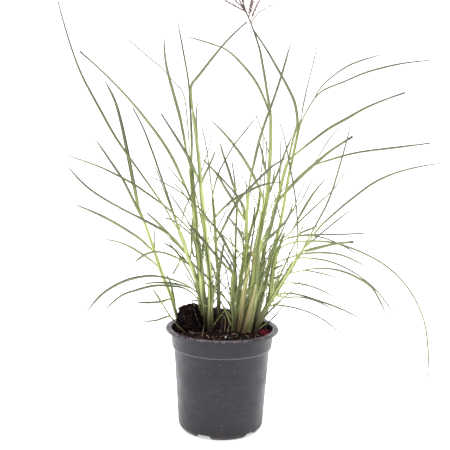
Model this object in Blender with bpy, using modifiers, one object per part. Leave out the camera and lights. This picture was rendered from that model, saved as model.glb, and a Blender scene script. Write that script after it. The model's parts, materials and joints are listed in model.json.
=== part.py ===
"""Potted miscanthus grass clump: a nursery pot of peat with a young tuft of arching grass.

Every stem and leaf is drawn through points given in millimetres as they are seen from
the front, on the upright plane through the pot's axis, and then set forward or back
along the line of sight to the depth named for its foot and its tip.
Frame: X to the right, Y away from the front, Z up, origin on the ground under the pot.
"""
import math

import bpy
import bmesh
import numpy as np
from mathutils import Vector
from mathutils.bvhtree import BVHTree

MM = 0.001
PLANT_COLLECTION = "potted_miscanthus_grass_clump"
CUTTER_COLLECTION = "cutters"

# Pot
POT_HEIGHT = 137.0
RIM_RADIUS = 75.0
LIP_HEIGHT = 3.8
COLLAR_TOP_RADIUS = 68.2
COLLAR_FOOT_RADIUS = 66.2
COLLAR_FOOT_Z = 111.5
BODY_TOP_RADIUS = 63.7
BODY_FOOT_RADIUS = 56.6
BODY_FOOT_Z = 6.0
BASE_RADIUS = 51.0
WALL = 1.6
FLOOR = 2.0
POT_STEPS = 36
NOTCH_COUNT = 5
NOTCH_WIDTH = 22.0
NOTCH_HEIGHT = 6.0
NOTCH_FIRST_DEG = -114.0

# Peat
PEAT_GAP = 0.3
PEAT_LEVEL = 129.0
PEAT_RADIUS = COLLAR_TOP_RADIUS - WALL - PEAT_GAP - 0.9
CLOD = (-43.0, 12.0, 19.0, 17.0, 29.0)
BANK_START = 33.0
BANK_REACH = 12.0
BANK_RISE = 16.0
EDGE_SHARE = 0.45
EDGE_REACH = 6.0
PLANT_DEPTH = 9.0
SOCKET_GAP = 0.35
PEAT_RINGS = 8

# Granules lying on the peat
GRANULE_PATCH = (57.5, -4.0, 5.8, 11.0)
GRANULE_HEIGHT = 2.6
GRANULE_STEPS = 12

# The eye the front points were taken from, in millimetres
EYE = (1.0, -950.0, 390.0)

# Leaf sections
LEAF_THICK = 1.0
KEEL_DROP = 0.55
LEAF_STEP = 30.0
CLEARANCE = 0.45

# Sampling and room between pieces
SAMPLES = 61
STEM_STEP = 26.0
PLUME_STEP = 22.0
PLUME_RADIUS = 1.1
FOOT_GAP = 0.35
FOOT_ROUNDS = 30
AXIS_SAMPLES = 241
FOOT_ZONE = 22.0
MERGE = 0.002
SCREW_MERGE = 0.05
SOCKET_TOP = 172.0
GRANULE_GAP = 1.5
ROOM_ROUNDS = 7
ROOM_STEPS = [sign * 4.0 * k for k in range(1, 15) for sign in (1, -1)]

# Plain colours and roughness of the pieces
COLOURS = {
    "pot": ((0.075, 0.07, 0.082), 0.5),
    "peat": ((0.018, 0.012, 0.01), 0.95),
    "red_granules": ((0.16, 0.012, 0.018), 0.8),
    "stem": ((0.22, 0.33, 0.06), 0.55),
    "dry_sheath": ((0.34, 0.24, 0.1), 0.8),
    "shoot": ((0.3, 0.34, 0.12), 0.6),
    "flower_head": ((0.32, 0.14, 0.17), 0.7),
    "leaf": ((0.2, 0.27, 0.07), 0.55),
}

# Stems: name, foot radius, head radius, depth at foot, depth at head, front points
STEMS = [
    ("stem_far_left", 2.4, 1.7, 20, 42,
     [(-60, 147), (-65, 164), (-70, 180), (-78.6, 201), (-84, 215), (-91, 236), (-98, 256), (-108, 284)]),
    ("stem_left_outer", 3.1, 1.9, 9, -22,
     [(-28.5, 133), (-29, 160), (-31, 180), (-34, 196), (-41, 215), (-48, 233), (-52.6, 248), (-60, 266)]),
    ("stem_left_broad", 4.2, 2.7, 2, 14,
     [(-22, 130), (-22, 147), (-23, 166), (-26.5, 180), (-29.5, 209), (-32.5, 235), (-37, 260),
      (-38, 280), (-41, 305), (-42.5, 325), (-45, 350)]),
    ("stem_left_tall", 3.9, 1.8, -7, -20,
     [(-16, 127), (-16, 150), (-16, 178), (-17.5, 200), (-20, 224), (-23, 245), (-25, 265),
      (-27, 282), (-29, 301), (-31.5, 324), (-34, 352), (-37.6, 380), (-43.6, 422)]),
    ("stem_slim_left", 2.8, 1.5, 24, 30,
     [(-4, 137), (-5, 160), (-5.8, 190), (-7, 212), (-9.5, 232), (-10.5, 250), (-12.5, 275), (-16, 311)]),
    ("stem_middle", 3.6, 2.2, -4, 0,
     [(15, 130), (15.6, 150), (13.4, 166), (12.4, 178), (13, 197), (13.6, 212)]),
    ("stem_slim_middle", 2.2, 1.2, 34, 38,
     [(9, 142), (12, 165), (17, 190), (16, 215), (15.5, 240), (15.6, 270), (16.2, 300), (14.2, 318)]),
    ("stem_straight", 3.3, 1.8, 14, 20,
     [(20.5, 134), (21, 160), (22, 182), (24, 205), (27, 225), (30, 248), (28.9, 270), (30, 300), (31.2, 321)]),
    ("stem_pale", 2.8, 1.6, 27, 36,
     [(28.5, 140), (29, 165), (30, 195), (31, 225), (31.5, 250), (36.5, 272), (42, 288), (45, 303), (46, 322)]),
    ("stem_flower", 4.1, 1.7, 5, 12,
     [(28, 132), (31, 158), (36, 178), (39.3, 198), (40.4, 216), (41.6, 235), (44.2, 251), (47.5, 267),
      (50, 285), (54, 304), (56, 322), (57.6, 355), (57.8, 391), (56.8, 418), (53, 439), (48, 466), (42, 495)]),
    ("stem_right_inner", 3.2, 1.6, -7, -16,
     [(36, 129), (40, 152), (43.4, 175), (45.3, 200), (46.2, 222), (47.6, 240), (51, 256)]),
    ("stem_right_tall", 3.3, 1.8, 18, 24,
     [(40, 136), (46, 165), (49.5, 195), (51.5, 225), (54.8, 250), (59.4, 265), (63.2, 282), (66.6, 299),
      (70.8, 314), (74.5, 334), (78.3, 349), (82.5, 362)]),
    ("stem_right_back", 2.6, 1.5, 33, 42,
     [(43, 143), (51, 170), (57, 200), (62, 230), (68.5, 255), (73.5, 276), (77.2, 299), (80.5, 325),
      (84, 347), (87.5, 365), (93, 396), (96.8, 415)]),
    ("stem_right_broad", 3.6, 2.4, 7, -6,
     [(46.5, 133), (53, 150), (59, 164), (63, 178), (64.4, 192), (65.2, 210), (67, 226), (70, 237), (73, 247)]),
    ("stem_right_leaning", 3.2, 1.6, -10, -26,
     [(45, 128), (49, 145), (56, 160), (62.5, 171), (70, 183), (79.6, 200), (88, 214.5), (98, 233), (105, 243)]),
    ("shoot_left_rim", 1.1, 0.8, -14, -4,
     [(-52, 129.5), (-59, 136), (-65, 144), (-70, 150), (-76, 159), (-80.6, 166.5)]),
    ("shoot_right_rim", 1.1, 0.8, 13, 30,
     [(57, 133), (59.5, 139), (63, 145), (69.1, 151.4), (74, 158)]),
    ("dry_sheath_left", 2.3, 2.2, -10, -3,
     [(22.5, 130), (24.6, 148), (25.8, 165), (28, 182), (30, 196), (33, 214), (34.5, 224)]),
    ("dry_sheath_right", 2.1, 1.8, -17, -12,
     [(29, 127), (33, 146), (36.5, 161), (39.5, 174), (42.5, 186), (44.2, 195)]),
]

# Leaves that part from their stem at a narrow angle: stem, width, turn at foot, turn at tip,
# depth at tip, front points
JOINED_LEAVES = [
    ("stem_far_left", 5.4, 60, 35, 70,
     [(-107, 280), (-112, 292), (-117, 316), (-121, 334), (-129, 373), (-136, 405), (-144, 432), (-158, 459)]),
    ("stem_far_left", 3.6, 50, 20, 58,
     [(-103, 270), (-113, 290), (-124, 312), (-134, 331), (-149, 353), (-160, 369), (-172, 385)]),
    ("stem_far_left", 3.2, 70, 70, 46, [(-89.5, 232), (-91.5, 252), (-90.5, 269)]),
    ("stem_far_left", 2.6, 50, 20, 34, [(-62, 156), (-64.5, 172), (-68, 188), (-72, 200), (-78, 208)]),
    ("stem_far_left", 3.4, 25, 20, -12, [(-67, 172), (-73, 172), (-82, 168.5), (-99, 167), (-114, 167)]),
    ("stem_left_outer", 5.2, 62, 30, -60,
     [(-59, 264), (-64, 278), (-71, 297), (-79, 321), (-88, 346), (-96, 368), (-108, 398), (-121, 423)]),
    ("stem_left_outer", 2.6, 40, 15, -64, [(-83, 330), (-88, 340), (-93, 349), (-98, 358)]),
    ("stem_left_broad", 4.6, 70, 30, 60,
     [(-44.6, 345), (-50, 366), (-55, 392), (-60, 414), (-66, 434), (-76, 469), (-80, 492), (-81, 516)]),
    ("stem_left_broad", 3.9, 70, 40, 6,
     [(-44.6, 345), (-44.3, 365), (-45, 390), (-47.5, 426), (-50, 457), (-56, 490), (-66, 540)]),
    ("stem_left_broad", 3.4, 35, 15, -64,
     [(-47.3, 422), (-54, 435), (-67, 455), (-83, 473), (-102, 488), (-126, 508)]),
    ("stem_left_broad", 3.8, 35, 15, -36,
     [(-37.6, 262), (-43, 270), (-50, 281), (-58, 293), (-66, 304.5), (-75, 316)]),
    ("stem_left_broad", 2.6, 60, 60, 16, [(-33, 240), (-38, 230), (-42, 243), (-42.5, 262), (-41.5, 285)]),
    ("stem_left_tall", 3.2, 70, 40, -34,
     [(-43, 417), (-45, 432), (-46, 452), (-36, 466), (-22, 484), (-5, 505), (10, 521), (24, 534)]),
    ("stem_left_tall", 3.2, 70, 60, -8, [(-36.5, 374), (-37, 392), (-38.5, 412), (-37.6, 431)]),
    ("stem_left_tall", 3.6, 50, 20, 34,
     [(-31.5, 322), (-38, 340), (-48, 360), (-59, 378), (-70, 395), (-84, 416)]),
    ("stem_left_tall", 2.6, 60, 20, -56,
     [(-31.5, 324), (-28, 336), (-22, 349.5), (-17, 361), (-13, 371)]),
    ("stem_left_tall", 2.6, 30, 20, -34, [(-16.8, 187), (-20.5, 192), (-25, 198), (-31, 208)]),
    ("stem_left_tall", 2.8, 30, 10, -38, [(-22, 163), (-28, 167), (-34, 171), (-41.7, 171.5)]),
    ("stem_slim_left", 3.4, 65, 25, 76,
     [(-16, 309), (-14, 321), (-8, 342), (0, 358.5), (11, 378), (25, 396), (35, 410), (45, 420)]),
    ("stem_slim_left", 3.0, 30, 10, 4, [(-7, 201), (-13, 215), (-20, 229), (-27, 241), (-35, 256)]),
    ("stem_slim_left", 2.4, 60, 20, 40, [(-6, 200), (-3, 206), (1, 212)]),
    ("stem_middle", 5.6, 55, 35, -34,
     [(13.4, 206), (8, 213), (-4, 225), (-14, 236), (-24, 248), (-36, 261), (-50, 277)]),
    ("stem_middle", 3.2, 40, 15, 18,
     [(13.6, 209), (14, 222), (8.3, 237), (2, 248), (-8.5, 265), (-18, 276), (-38, 292)]),
    ("stem_middle", 2.8, 40, 15, -14, [(13.6, 207), (12.5, 219), (4, 235), (-4, 247), (-10, 257)]),
    ("stem_middle", 2.6, 40, 15, 40, [(13.4, 204), (11, 214), (4, 226), (-5, 238), (-13, 247)]),
    ("stem_middle", 3.0, 40, 20, -30, [(12.4, 174), (9, 181), (3.4, 189.5), (-4, 197), (-14, 205)]),
    ("stem_middle", 2.8, 40, 15, -50,
     [(13, 167), (5, 173), (-3, 181), (-9, 187), (-20, 201), (-31, 211), (-42, 224), (-49, 236)]),
    ("stem_slim_middle", 3.0, 70, 40, 56, [(14.2, 316), (10, 328), (3, 349), (-3.5, 367), (-8.4, 383)]),
    ("stem_slim_middle", 2.6, 60, 40, 76, [(14.2, 316), (13, 330), (10.7, 345), (8, 359)]),
    ("stem_straight", 4.2, 75, 30, -56,
     [(31, 318), (32.5, 335), (37, 357), (43, 385), (51, 412), (59, 435), (69, 467), (81, 512)]),
    ("stem_straight", 6.2, 80, 70, -66, [(28, 236), (25, 252), (19, 265), (11.5, 276), (2.7, 286)]),
    ("stem_straight", 2.2, 60, 40, -20, [(26, 250), (24, 264), (22.5, 275), (21, 286)]),
    ("stem_pale", 2.8, 75, 40, 50, [(46, 320), (46, 335), (47.5, 352), (48.6, 372), (48.5, 391)]),
    ("stem_pale", 3.8, 80, 60, 20, [(36.5, 272), (37.6, 283), (40, 301)]),
    ("stem_flower", 3.0, 65, 30, 30, [(55.6, 336), (51.5, 350), (48.5, 364), (43.5, 383)]),
    ("stem_flower", 3.4, 80, 70, -16, [(56, 312), (60, 322), (62.4, 336), (64.3, 349)]),
    ("stem_flower", 2.6, 60, 20, -30,
     [(56.5, 318), (61.5, 327), (66.5, 339), (71, 352), (76, 367), (86.2, 393)]),
    ("stem_flower", 2.8, 50, 20, -36, [(50, 286), (46, 293), (42, 302), (31.5, 321), (22, 337)]),
    ("stem_right_inner", 3.8, 75, 40, -40, [(50, 253), (55, 263), (61, 276), (66, 290), (69, 304)]),
    ("stem_right_inner", 3.0, 60, 30, -60, [(47, 235), (52, 247), (60, 258), (70, 268), (83, 284), (90, 306)]),
    ("stem_right_tall", 3.6, 65, 35, 70,
     [(82, 361), (85, 377), (89, 395), (92, 409), (88, 432), (79, 451), (66, 473), (50, 499), (32, 524)]),
    ("stem_right_tall", 2.2, 60, 40, 38, [(70.5, 314), (71, 332), (71.6, 355), (70, 394)]),
    ("stem_right_back", 3.2, 65, 40, 62, [(96.8, 413), (99, 431), (104, 459), (109, 481), (115, 511)]),
    ("stem_right_broad", 5.0, 80, 65, -30, [(69, 234), (73, 247), (76, 257), (80, 266)]),
    ("stem_right_broad", 2.8, 40, 30, -40, [(65.5, 212), (69.3, 217), (74, 219.4), (79, 221.5)]),
    ("stem_right_broad", 2.8, 40, 30, -26, [(65, 200), (68, 203), (73.4, 206), (79, 209.5)]),
    ("stem_right_broad", 2.6, 50, 30, 24, [(64, 203), (66.5, 195), (69.7, 188.7), (71, 184)]),
    ("stem_right_leaning", 4.0, 60, 25, -70,
     [(103.5, 240), (110, 255.6), (117, 269), (125, 285), (134, 304), (141, 325), (149, 356), (156, 385), (162, 415)]),
    ("stem_right_leaning", 2.8, 60, 40, -4, [(66, 177), (71, 190), (76.4, 201), (84, 213.5), (93, 231)]),
    ("stem_right_leaning", 2.2, 60, 40, -6, [(80, 201), (83, 212), (85, 226), (87, 244)]),
    ("shoot_left_rim", 2.4, 50, 30, 10, [(-79, 164), (-84.4, 173), (-93.9, 186.4)]),
    ("shoot_left_rim", 2.4, 25, 15, -40, [(-66, 145), (-72, 149), (-80, 146), (-91, 142.5), (-108, 141.6)]),
    ("shoot_right_rim", 2.4, 40, 20, 60, [(73, 157), (78.5, 164), (84, 171), (88.5, 177.5)]),
]

# Leaves that spread wide of their stem, each a piece of its own with its foot just clear
# of the stem: name, stem, width, turn at foot, turn at tip, depth at tip, front points
WIDE_LEAVES = [
    ("leaf_left_high", "stem_left_outer", 5.0, 48, 25, -92,
     [(-60, 264), (-69, 278), (-78, 294), (-91, 312), (-110, 338), (-141, 381), (-163, 419), (-190, 470),
      (-210, 530), (-222, 580)]),
    ("leaf_left_crossing", "stem_left_broad", 4.0, 40, 25, 84,
     [(-40.5, 300), (-47, 312), (-55.5, 331), (-70, 361), (-90, 391), (-125, 433), (-160, 468), (-189, 493)]),
    ("leaf_flower_arch", "stem_flower", 3.4, 35, 15, 88,
     [(56.6, 416), (53, 424), (47, 440), (36, 460), (20, 479), (0, 497), (-20, 505), (-56, 515)]),
    ("leaf_right_top", "stem_right_back", 3.6, 35, 15, 96,
     [(95, 401), (104, 424), (120, 447), (150, 461), (180, 474), (221, 485), (271, 492)]),
    ("leaf_right_high", "stem_right_tall", 4.4, 38, 20, -64,
     [(81, 358), (88, 365), (106, 380), (131, 400), (156, 415), (180, 429), (205, 440), (229, 449)]),
    ("leaf_right_broad", "stem_right_tall", 5.0, 62, 45, -46,
     [(68.5, 304), (74, 311), (87, 327), (103, 343.5), (116, 355), (134, 371), (150, 382.5), (164, 392)]),
    ("leaf_right_long", "stem_right_leaning", 4.0, 40, 15, -138,
     [(104, 241), (113, 255), (125, 272), (144, 291), (164, 309), (198, 335), (238, 351), (291, 362)]),
    ("leaf_left_low_arch", "stem_left_broad", 3.8, 30, 12, -70,
     [(-36.5, 256), (-47, 268), (-62, 282), (-78, 296), (-101, 312), (-119, 324), (-141, 335.5), (-169, 348),
      (-215, 363)]),
    ("leaf_left_sweeping", "stem_left_outer", 3.8, 28, 12, 30,
     [(-47.5, 231), (-57, 244), (-71, 258), (-89, 269), (-111, 280), (-141, 295), (-170, 312), (-190, 329),
      (-209, 351)]),
    ("leaf_far_left_side", "stem_far_left", 4.2, 45, 30, 96,
     [(-91, 235), (-99, 242), (-110, 252), (-130, 265), (-150, 276.5), (-170, 286), (-200, 298)]),
    ("leaf_far_left_pale", "stem_far_left", 2.8, 30, 10, 118,
     [(-84, 213), (-94, 223), (-110, 234), (-124, 242), (-140, 248), (-161, 252)]),
    ("leaf_long_slant", "stem_straight", 3.2, 35, 15, -84,
     [(24, 232), (14.5, 244), (5, 253.5), (-11, 268), (-25, 285), (-38, 298.5), (-57, 314), (-80, 327), (-107, 338)]),
    ("leaf_left_curling", "stem_left_outer", 3.2, 45, 25, 48,
     [(-60.5, 264), (-56, 278), (-50, 298), (-40, 320), (-30.7, 345), (-22, 373), (-15, 410)]),
    ("leaf_slim_upright", "stem_slim_left", 3.0, 55, 25, -32,
     [(-16, 311), (-19, 330), (-21.5, 350), (-25, 372), (-29, 390), (-34, 409)]),
    ("leaf_pair_slant", "stem_straight", 3.4, 45, 25, 66,
     [(28.6, 276), (20, 291), (11, 306), (1.4, 320), (-13, 342), (-33, 362)]),
    ("leaf_centre_crossing", "stem_flower", 4.0, 40, 25, 92,
     [(53, 302), (47, 317), (40, 332), (29, 352), (16, 371), (-1, 391), (-21, 410.6)]),
    ("leaf_centre_low", "stem_slim_left", 3.4, 35, 20, -52,
     [(-14, 281), (-2, 294.6), (11.5, 307), (27, 316), (42, 324), (58, 329), (75, 331)]),
    ("leaf_centre_rising", "stem_slim_left", 3.2, 35, 20, -92,
     [(-10, 250), (-3, 266), (8, 289), (20, 308), (34, 324), (48, 339), (63, 353), (83, 365)]),
    ("leaf_centre_back", "stem_left_tall", 3.0, 55, 30, 84,
     [(-22, 245), (-14, 256), (-5, 277), (6, 300), (12, 313), (20, 331), (30, 352)]),
    ("leaf_right_upright", "stem_right_leaning", 3.8, 65, 40, -56,
     [(96, 229), (97, 250), (96.5, 270), (93.5, 300), (90, 322), (82, 359), (75, 390), (66, 415), (58, 429)]),
    ("leaf_right_inner", "stem_right_inner", 3.6, 45, 25, 62,
     [(51, 255), (62, 262), (75, 274), (90, 296), (99, 321), (106, 336), (112, 348)]),
    ("leaf_right_forked", "stem_right_back", 4.0, 45, 25, 78,
     [(68, 250), (76, 256), (87, 265), (93, 273), (105, 286), (120, 301), (140, 321), (148, 333), (160, 353)]),
    ("leaf_right_level", "stem_right_broad", 4.2, 30, 18, 70,
     [(72, 245), (76, 251), (84, 257), (107, 261.6), (137, 263), (160, 264), (184, 266)]),
    ("leaf_right_drooping", "stem_right_broad", 3.8, 28, 14, -96,
     [(72, 241), (84, 249.5), (105, 253.6), (140, 252.7), (180, 241), (220, 219), (250, 187), (269, 148), (277, 100),
      (277, 52)]),
    ("leaf_right_stub", "stem_right_leaning", 5.2, 55, 50, -96,
     [(103, 238), (112, 241.7), (124, 245), (142, 249.6), (158, 252.6), (171, 254)]),
    ("leaf_right_low_a", "stem_right_broad", 4.2, 34, 15, 104,
     [(65.3, 219), (74, 226), (87, 231.5), (106, 236.7), (133, 238.6), (159, 235), (192, 220)]),
    ("leaf_right_low_b", "stem_right_leaning", 3.4, 28, 12, -152,
     [(94, 227), (101, 231), (121, 230.5), (142, 226.7), (162, 219), (184, 206), (207, 186), (235, 150)]),
    ("leaf_right_low_c", "stem_right_leaning", 3.6, 28, 12, 48,
     [(86, 209), (97, 212.7), (115, 216.6), (134, 217.8), (156, 214.6), (178, 206), (200, 190), (220, 154)]),
    ("leaf_right_low_d", "stem_right_leaning", 3.0, 25, 10, 118,
     [(76.5, 193), (84, 197), (99, 197), (119, 192.6), (136, 186), (149, 179)]),
    ("leaf_right_low_e", "stem_right_leaning", 4.4, 35, 15, -128,
     [(67, 176), (75, 182), (89, 183.4), (109, 180), (129, 173.6), (156, 164), (188, 150)]),
    ("leaf_right_low_f", "stem_right_broad", 3.2, 28, 12, -60,
     [(60, 164), (67, 167), (80, 166.4), (100, 163), (123, 155), (146, 140.5), (164, 127)]),
    ("leaf_left_nodding", "stem_left_outer", 3.8, 28, 12, -116,
     [(-42.5, 216), (-50, 222), (-64, 229), (-78, 234), (-91, 235.3), (-104, 231.5), (-120, 220)]),
    ("leaf_left_bowed", "stem_left_outer", 4.2, 28, 12, -118,
     [(-31.5, 178), (-41, 187), (-54, 194), (-73, 200), (-95, 203), (-121, 199), (-144, 189), (-164, 174), (-184, 149)]),
    ("leaf_left_dark", "stem_left_tall", 4.4, 45, 25, -82,
     [(-19.5, 216), (-25.5, 229), (-32, 243), (-43, 259), (-57, 270.5), (-70, 278.6), (-84, 282)]),
    ("leaf_left_bowed_low", "stem_left_outer", 3.4, 28, 12, -70,
     [(-30, 167), (-37, 177.5), (-51, 187), (-69, 190), (-92, 190), (-114, 184), (-136, 175), (-161, 152)]),
    ("leaf_left_thin_slant", "stem_left_broad", 2.8, 30, 12, -24,
     [(-40, 296), (-46, 311), (-52, 321.5), (-61, 332), (-72, 345), (-81, 355)]),
]

# Blades springing from a wide leaf and staying close to it: leaf, width, turn at foot,
# turn at tip, depth at tip, front points
LEAF_FORKS = [
    ("leaf_right_top", 2.8, 30, 10, 64, [(111, 440), (119, 451), (131, 464), (158, 483), (201, 498)]),
    ("leaf_right_broad", 3.4, 35, 20, -120,
     [(110, 349.5), (117, 354.6), (142, 363), (171, 371), (209, 377), (264, 385)]),
    ("leaf_right_broad", 2.8, 50, 30, 36, [(112, 351), (117, 359), (127, 377), (139, 395), (152, 410)]),
    ("leaf_right_long", 2.4, 30, 10, -40, [(106, 244), (114, 252), (129, 265.5), (148, 282), (168, 299)]),
    ("leaf_left_sweeping", 3.4, 35, 15, 64, [(-60, 247), (-71, 258), (-81, 268), (-93, 280), (-104, 289)]),
    ("leaf_pair_slant", 2.8, 40, 20, 34, [(26, 281), (25, 297), (12, 316), (4.5, 324.5), (-7, 337), (-17, 348)]),
    ("leaf_right_upright", 2.4, 30, 15, -80, [(97, 258), (100.5, 264), (109, 268.4), (124, 275)]),
    ("leaf_right_inner", 2.6, 50, 25, 44, [(86, 289), (95, 300), (102, 311), (110, 328), (121, 352)]),
    ("leaf_right_forked", 3.2, 40, 20, 20, [(92, 272), (98, 285), (109, 306), (120, 323), (133, 339)]),
    ("leaf_right_level", 2.6, 30, 12, -40,
     [(90, 259), (107, 261.4), (121, 260.5), (135, 257.5), (158, 248), (179, 236)]),
    ("leaf_right_low_c", 2.4, 25, 10, -70, [(98, 213), (109, 214.6), (128, 211.4), (145, 207.5), (158, 202.5)]),
    ("leaf_right_low_e", 3.0, 28, 12, -58, [(72, 180), (87, 178), (107, 178), (133, 170), (157, 155)]),
    ("leaf_left_nodding", 2.8, 28, 12, -12,
     [(-47, 220), (-51, 224), (-59, 231.6), (-66, 240), (-77, 246.7), (-83, 249)]),
    ("leaf_left_nodding", 2.4, 60, 60, -60, [(-56, 225.5), (-60, 219.5), (-68, 204)]),
    ("leaf_left_bowed", 3.2, 28, 14, -44, [(-40, 186.5), (-54, 191), (-73, 194), (-92, 194), (-108, 191.5)]),
]

# Flower head: depth at tip and front points of its axis and of each plume
PLUMES = [
    (13, [(41.8, 496.4), (38, 508), (32, 524), (26, 538), (20, 552), (15, 566)]),
    (-20, [(26, 538), (22, 546), (8, 553), (-8, 562), (-22, 574)]),
    (40, [(24, 541), (18, 551), (8, 560), (-4, 572), (-14, 588)]),
    (-6, [(22, 546), (16, 556), (8, 572), (2, 594)]),
    (30, [(21, 549), (17, 562), (13, 580), (12, 604)]),
    (-26, [(18, 557), (19, 572), (22, 590), (22, 612)]),
    (22, [(26, 538), (28, 551), (31, 568), (34, 590)]),
    (-34, [(28, 534), (33, 548), (40, 562), (50, 576)]),
    (46, [(29, 531), (36, 543), (46, 551), (58, 556)]),
]


def seen_point(x, z, depth):
    """The point at a depth that lies on the line of sight through a front point."""
    reach = 1.0 - depth / EYE[1]
    return np.array([EYE[0] + (x - EYE[0]) * reach, depth, EYE[2] + (z - EYE[2]) * reach])


def smooth_line(points, count):
    """Evenly spaced points on a smooth curve through the given ones, foot to tip."""
    knots = np.array(points, dtype=float)
    ends = np.vstack([2 * knots[0] - knots[1], knots, 2 * knots[-1] - knots[-2]])
    dense = []
    for i in range(1, len(ends) - 2):
        a, b, c, d = ends[i - 1:i + 3]
        for t in np.linspace(0.0, 1.0, 16, endpoint=False):
            dense.append(0.5 * (2 * b + (c - a) * t + (2 * a - 5 * b + 4 * c - d) * t * t
                                + (3 * b - a - 3 * c + d) * t ** 3))
    dense.append(knots[-1])
    dense = np.array(dense)
    steps = np.linalg.norm(np.diff(dense, axis=0), axis=1)
    along = np.concatenate([[0.0], np.cumsum(steps)])
    wanted = np.linspace(0.0, along[-1], count)
    return np.column_stack([np.interp(wanted, along, dense[:, k]) for k in range(dense.shape[1])])


def depth_curve(share, foot, tip, bulges):
    """Depth along a blade: it leans away slowly at first, and bulges round its neighbours."""
    depth = foot + (tip - foot) * share ** 1.35
    for centre, size, spread in bulges:
        pinned = np.clip(share / 0.12, 0.0, 1.0)
        depth = depth + size * pinned * np.exp(-((share - centre) / spread) ** 2)
    return depth


def line_in_space(front, foot, tip, bulges):
    share = np.linspace(0.0, 1.0, len(front))
    depth = depth_curve(share, foot, tip, bulges)
    return np.array([seen_point(x, z, y) for (x, z), y in zip(front, depth)])


def front_points(places):
    """Where points in space are seen on the plane of the front points."""
    reach = 1.0 - places[:, 1] / EYE[1]
    return np.column_stack([EYE[0] + (places[:, 0] - EYE[0]) / reach, EYE[2] + (places[:, 2] - EYE[2]) / reach])


def leaf_width(share):
    """Width of a leaf along it as a share of its full width."""
    opening = 0.55 + 0.45 * np.clip(share / 0.22, 0.0, 1.0)
    closing = 1.0 - 0.84 * np.clip((share - 0.35) / 0.65, 0.0, 1.0) ** 1.6
    return opening * closing


def stem_radius(stem, share):
    """A stem is stout in the sheaths at its foot and slims towards its head."""
    foot, head = stem.widths
    return head + (foot - head) * (1.0 - share) ** 2


class Blade:
    """A stem, leaf or plume: its line in space and how thick it is along it."""

    def __init__(self, piece, kind, front, foot_depth, tip_depth, widths, turns):
        self.piece = piece
        self.kind = kind
        self.front = smooth_line(front, SAMPLES)
        self.foot_depth = foot_depth
        self.tip_depth = tip_depth
        self.widths = widths
        self.turns = turns
        self.bulges = []
        self.stem = None
        self.share = np.linspace(0.0, 1.0, SAMPLES)

    def reach(self):
        """Half width at every sample."""
        if self.kind == "stem":
            return stem_radius(self, self.share)
        if self.kind == "plume":
            return PLUME_RADIUS * (1.0 - 0.6 * self.share)
        return 0.5 * self.widths[0] * leaf_width(self.share)

    def line(self):
        return line_in_space(self.front, self.foot_depth, self.tip_depth, self.bulges)

    def corners(self):
        """The corner points of the faceted body's line, with their shares."""
        points, shares = thin_out(self.line(), STEM_STEP if self.kind == "stem" else LEAF_STEP)
        if self.stem is not None:
            points = stand_clear(points, shares, self)
        return points, shares

    def faceted_line(self, count=SAMPLES):
        """The line of the faceted body at evenly spaced shares."""
        points, shares = self.corners()
        wanted = np.linspace(0.0, 1.0, count)
        return np.column_stack([np.interp(wanted, shares, points[:, k]) for k in range(3)])


def stand_clear(points, shares, leaf):
    """The corners of a wide leaf with its foot pushed out until it is clear of its stem."""
    axis = leaf.stem.faceted_line(AXIS_SAMPLES)
    axis_shares = np.linspace(0.0, 1.0, AXIS_SAMPLES)
    room = np.interp(axis_shares, leaf.share, leaf.stem.reach())
    need = room[None, :] + leaf.reach()[:, None] + FOOT_GAP
    moved = points.copy()
    away = points[1] - axis[int(np.argmin(np.linalg.norm(axis - points[1], axis=1)))]
    away /= np.linalg.norm(away)
    for _ in range(FOOT_ROUNDS):
        line = np.column_stack([np.interp(leaf.share, shares, moved[:, k]) for k in range(3)])
        short = need - np.linalg.norm(line[:, None, :] - axis[None, :, :], axis=2)
        sample, _ = np.unravel_index(int(np.argmax(short)), short.shape)
        if short.max() <= 0.0:
            break
        moved[0] += away * short.max()
        if leaf.share[sample] > 0.4 * shares[1]:
            moved[1] += away * short.max()
    return moved


def crowding(line, reach, others):
    """How far each sample stands inside the room its neighbours need."""
    short = np.zeros(len(line))
    for other_line, other_reach in others:
        gaps = np.linalg.norm(line[:, None, :] - other_line[None, :, :], axis=2)
        need = reach[:, None] + other_reach[None, :] + CLEARANCE
        short = np.maximum(short, (need - gaps).max(axis=1))
    return np.clip(short, 0.0, None)


def make_room(blade, others):
    """Bulge a blade towards or away from the front until it clears its neighbours."""
    for _ in range(ROOM_ROUNDS):
        short = crowding(blade.line(), blade.reach(), others)
        if short.max() <= 0.0:
            return
        centre = float(blade.share[int(np.argmax(short))])
        kept = list(blade.bulges)
        best = (float(short.sum()), kept)
        for size in ROOM_STEPS:
            for spread in (0.1, 0.2):
                blade.bulges = kept + [(centre, size, spread)]
                total = float(crowding(blade.line(), blade.reach(), others).sum())
                if total < best[0] - 1e-6:
                    best = (total, list(blade.bulges))
            if best[0] <= 0.0:
                break
        blade.bulges = best[1]


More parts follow.
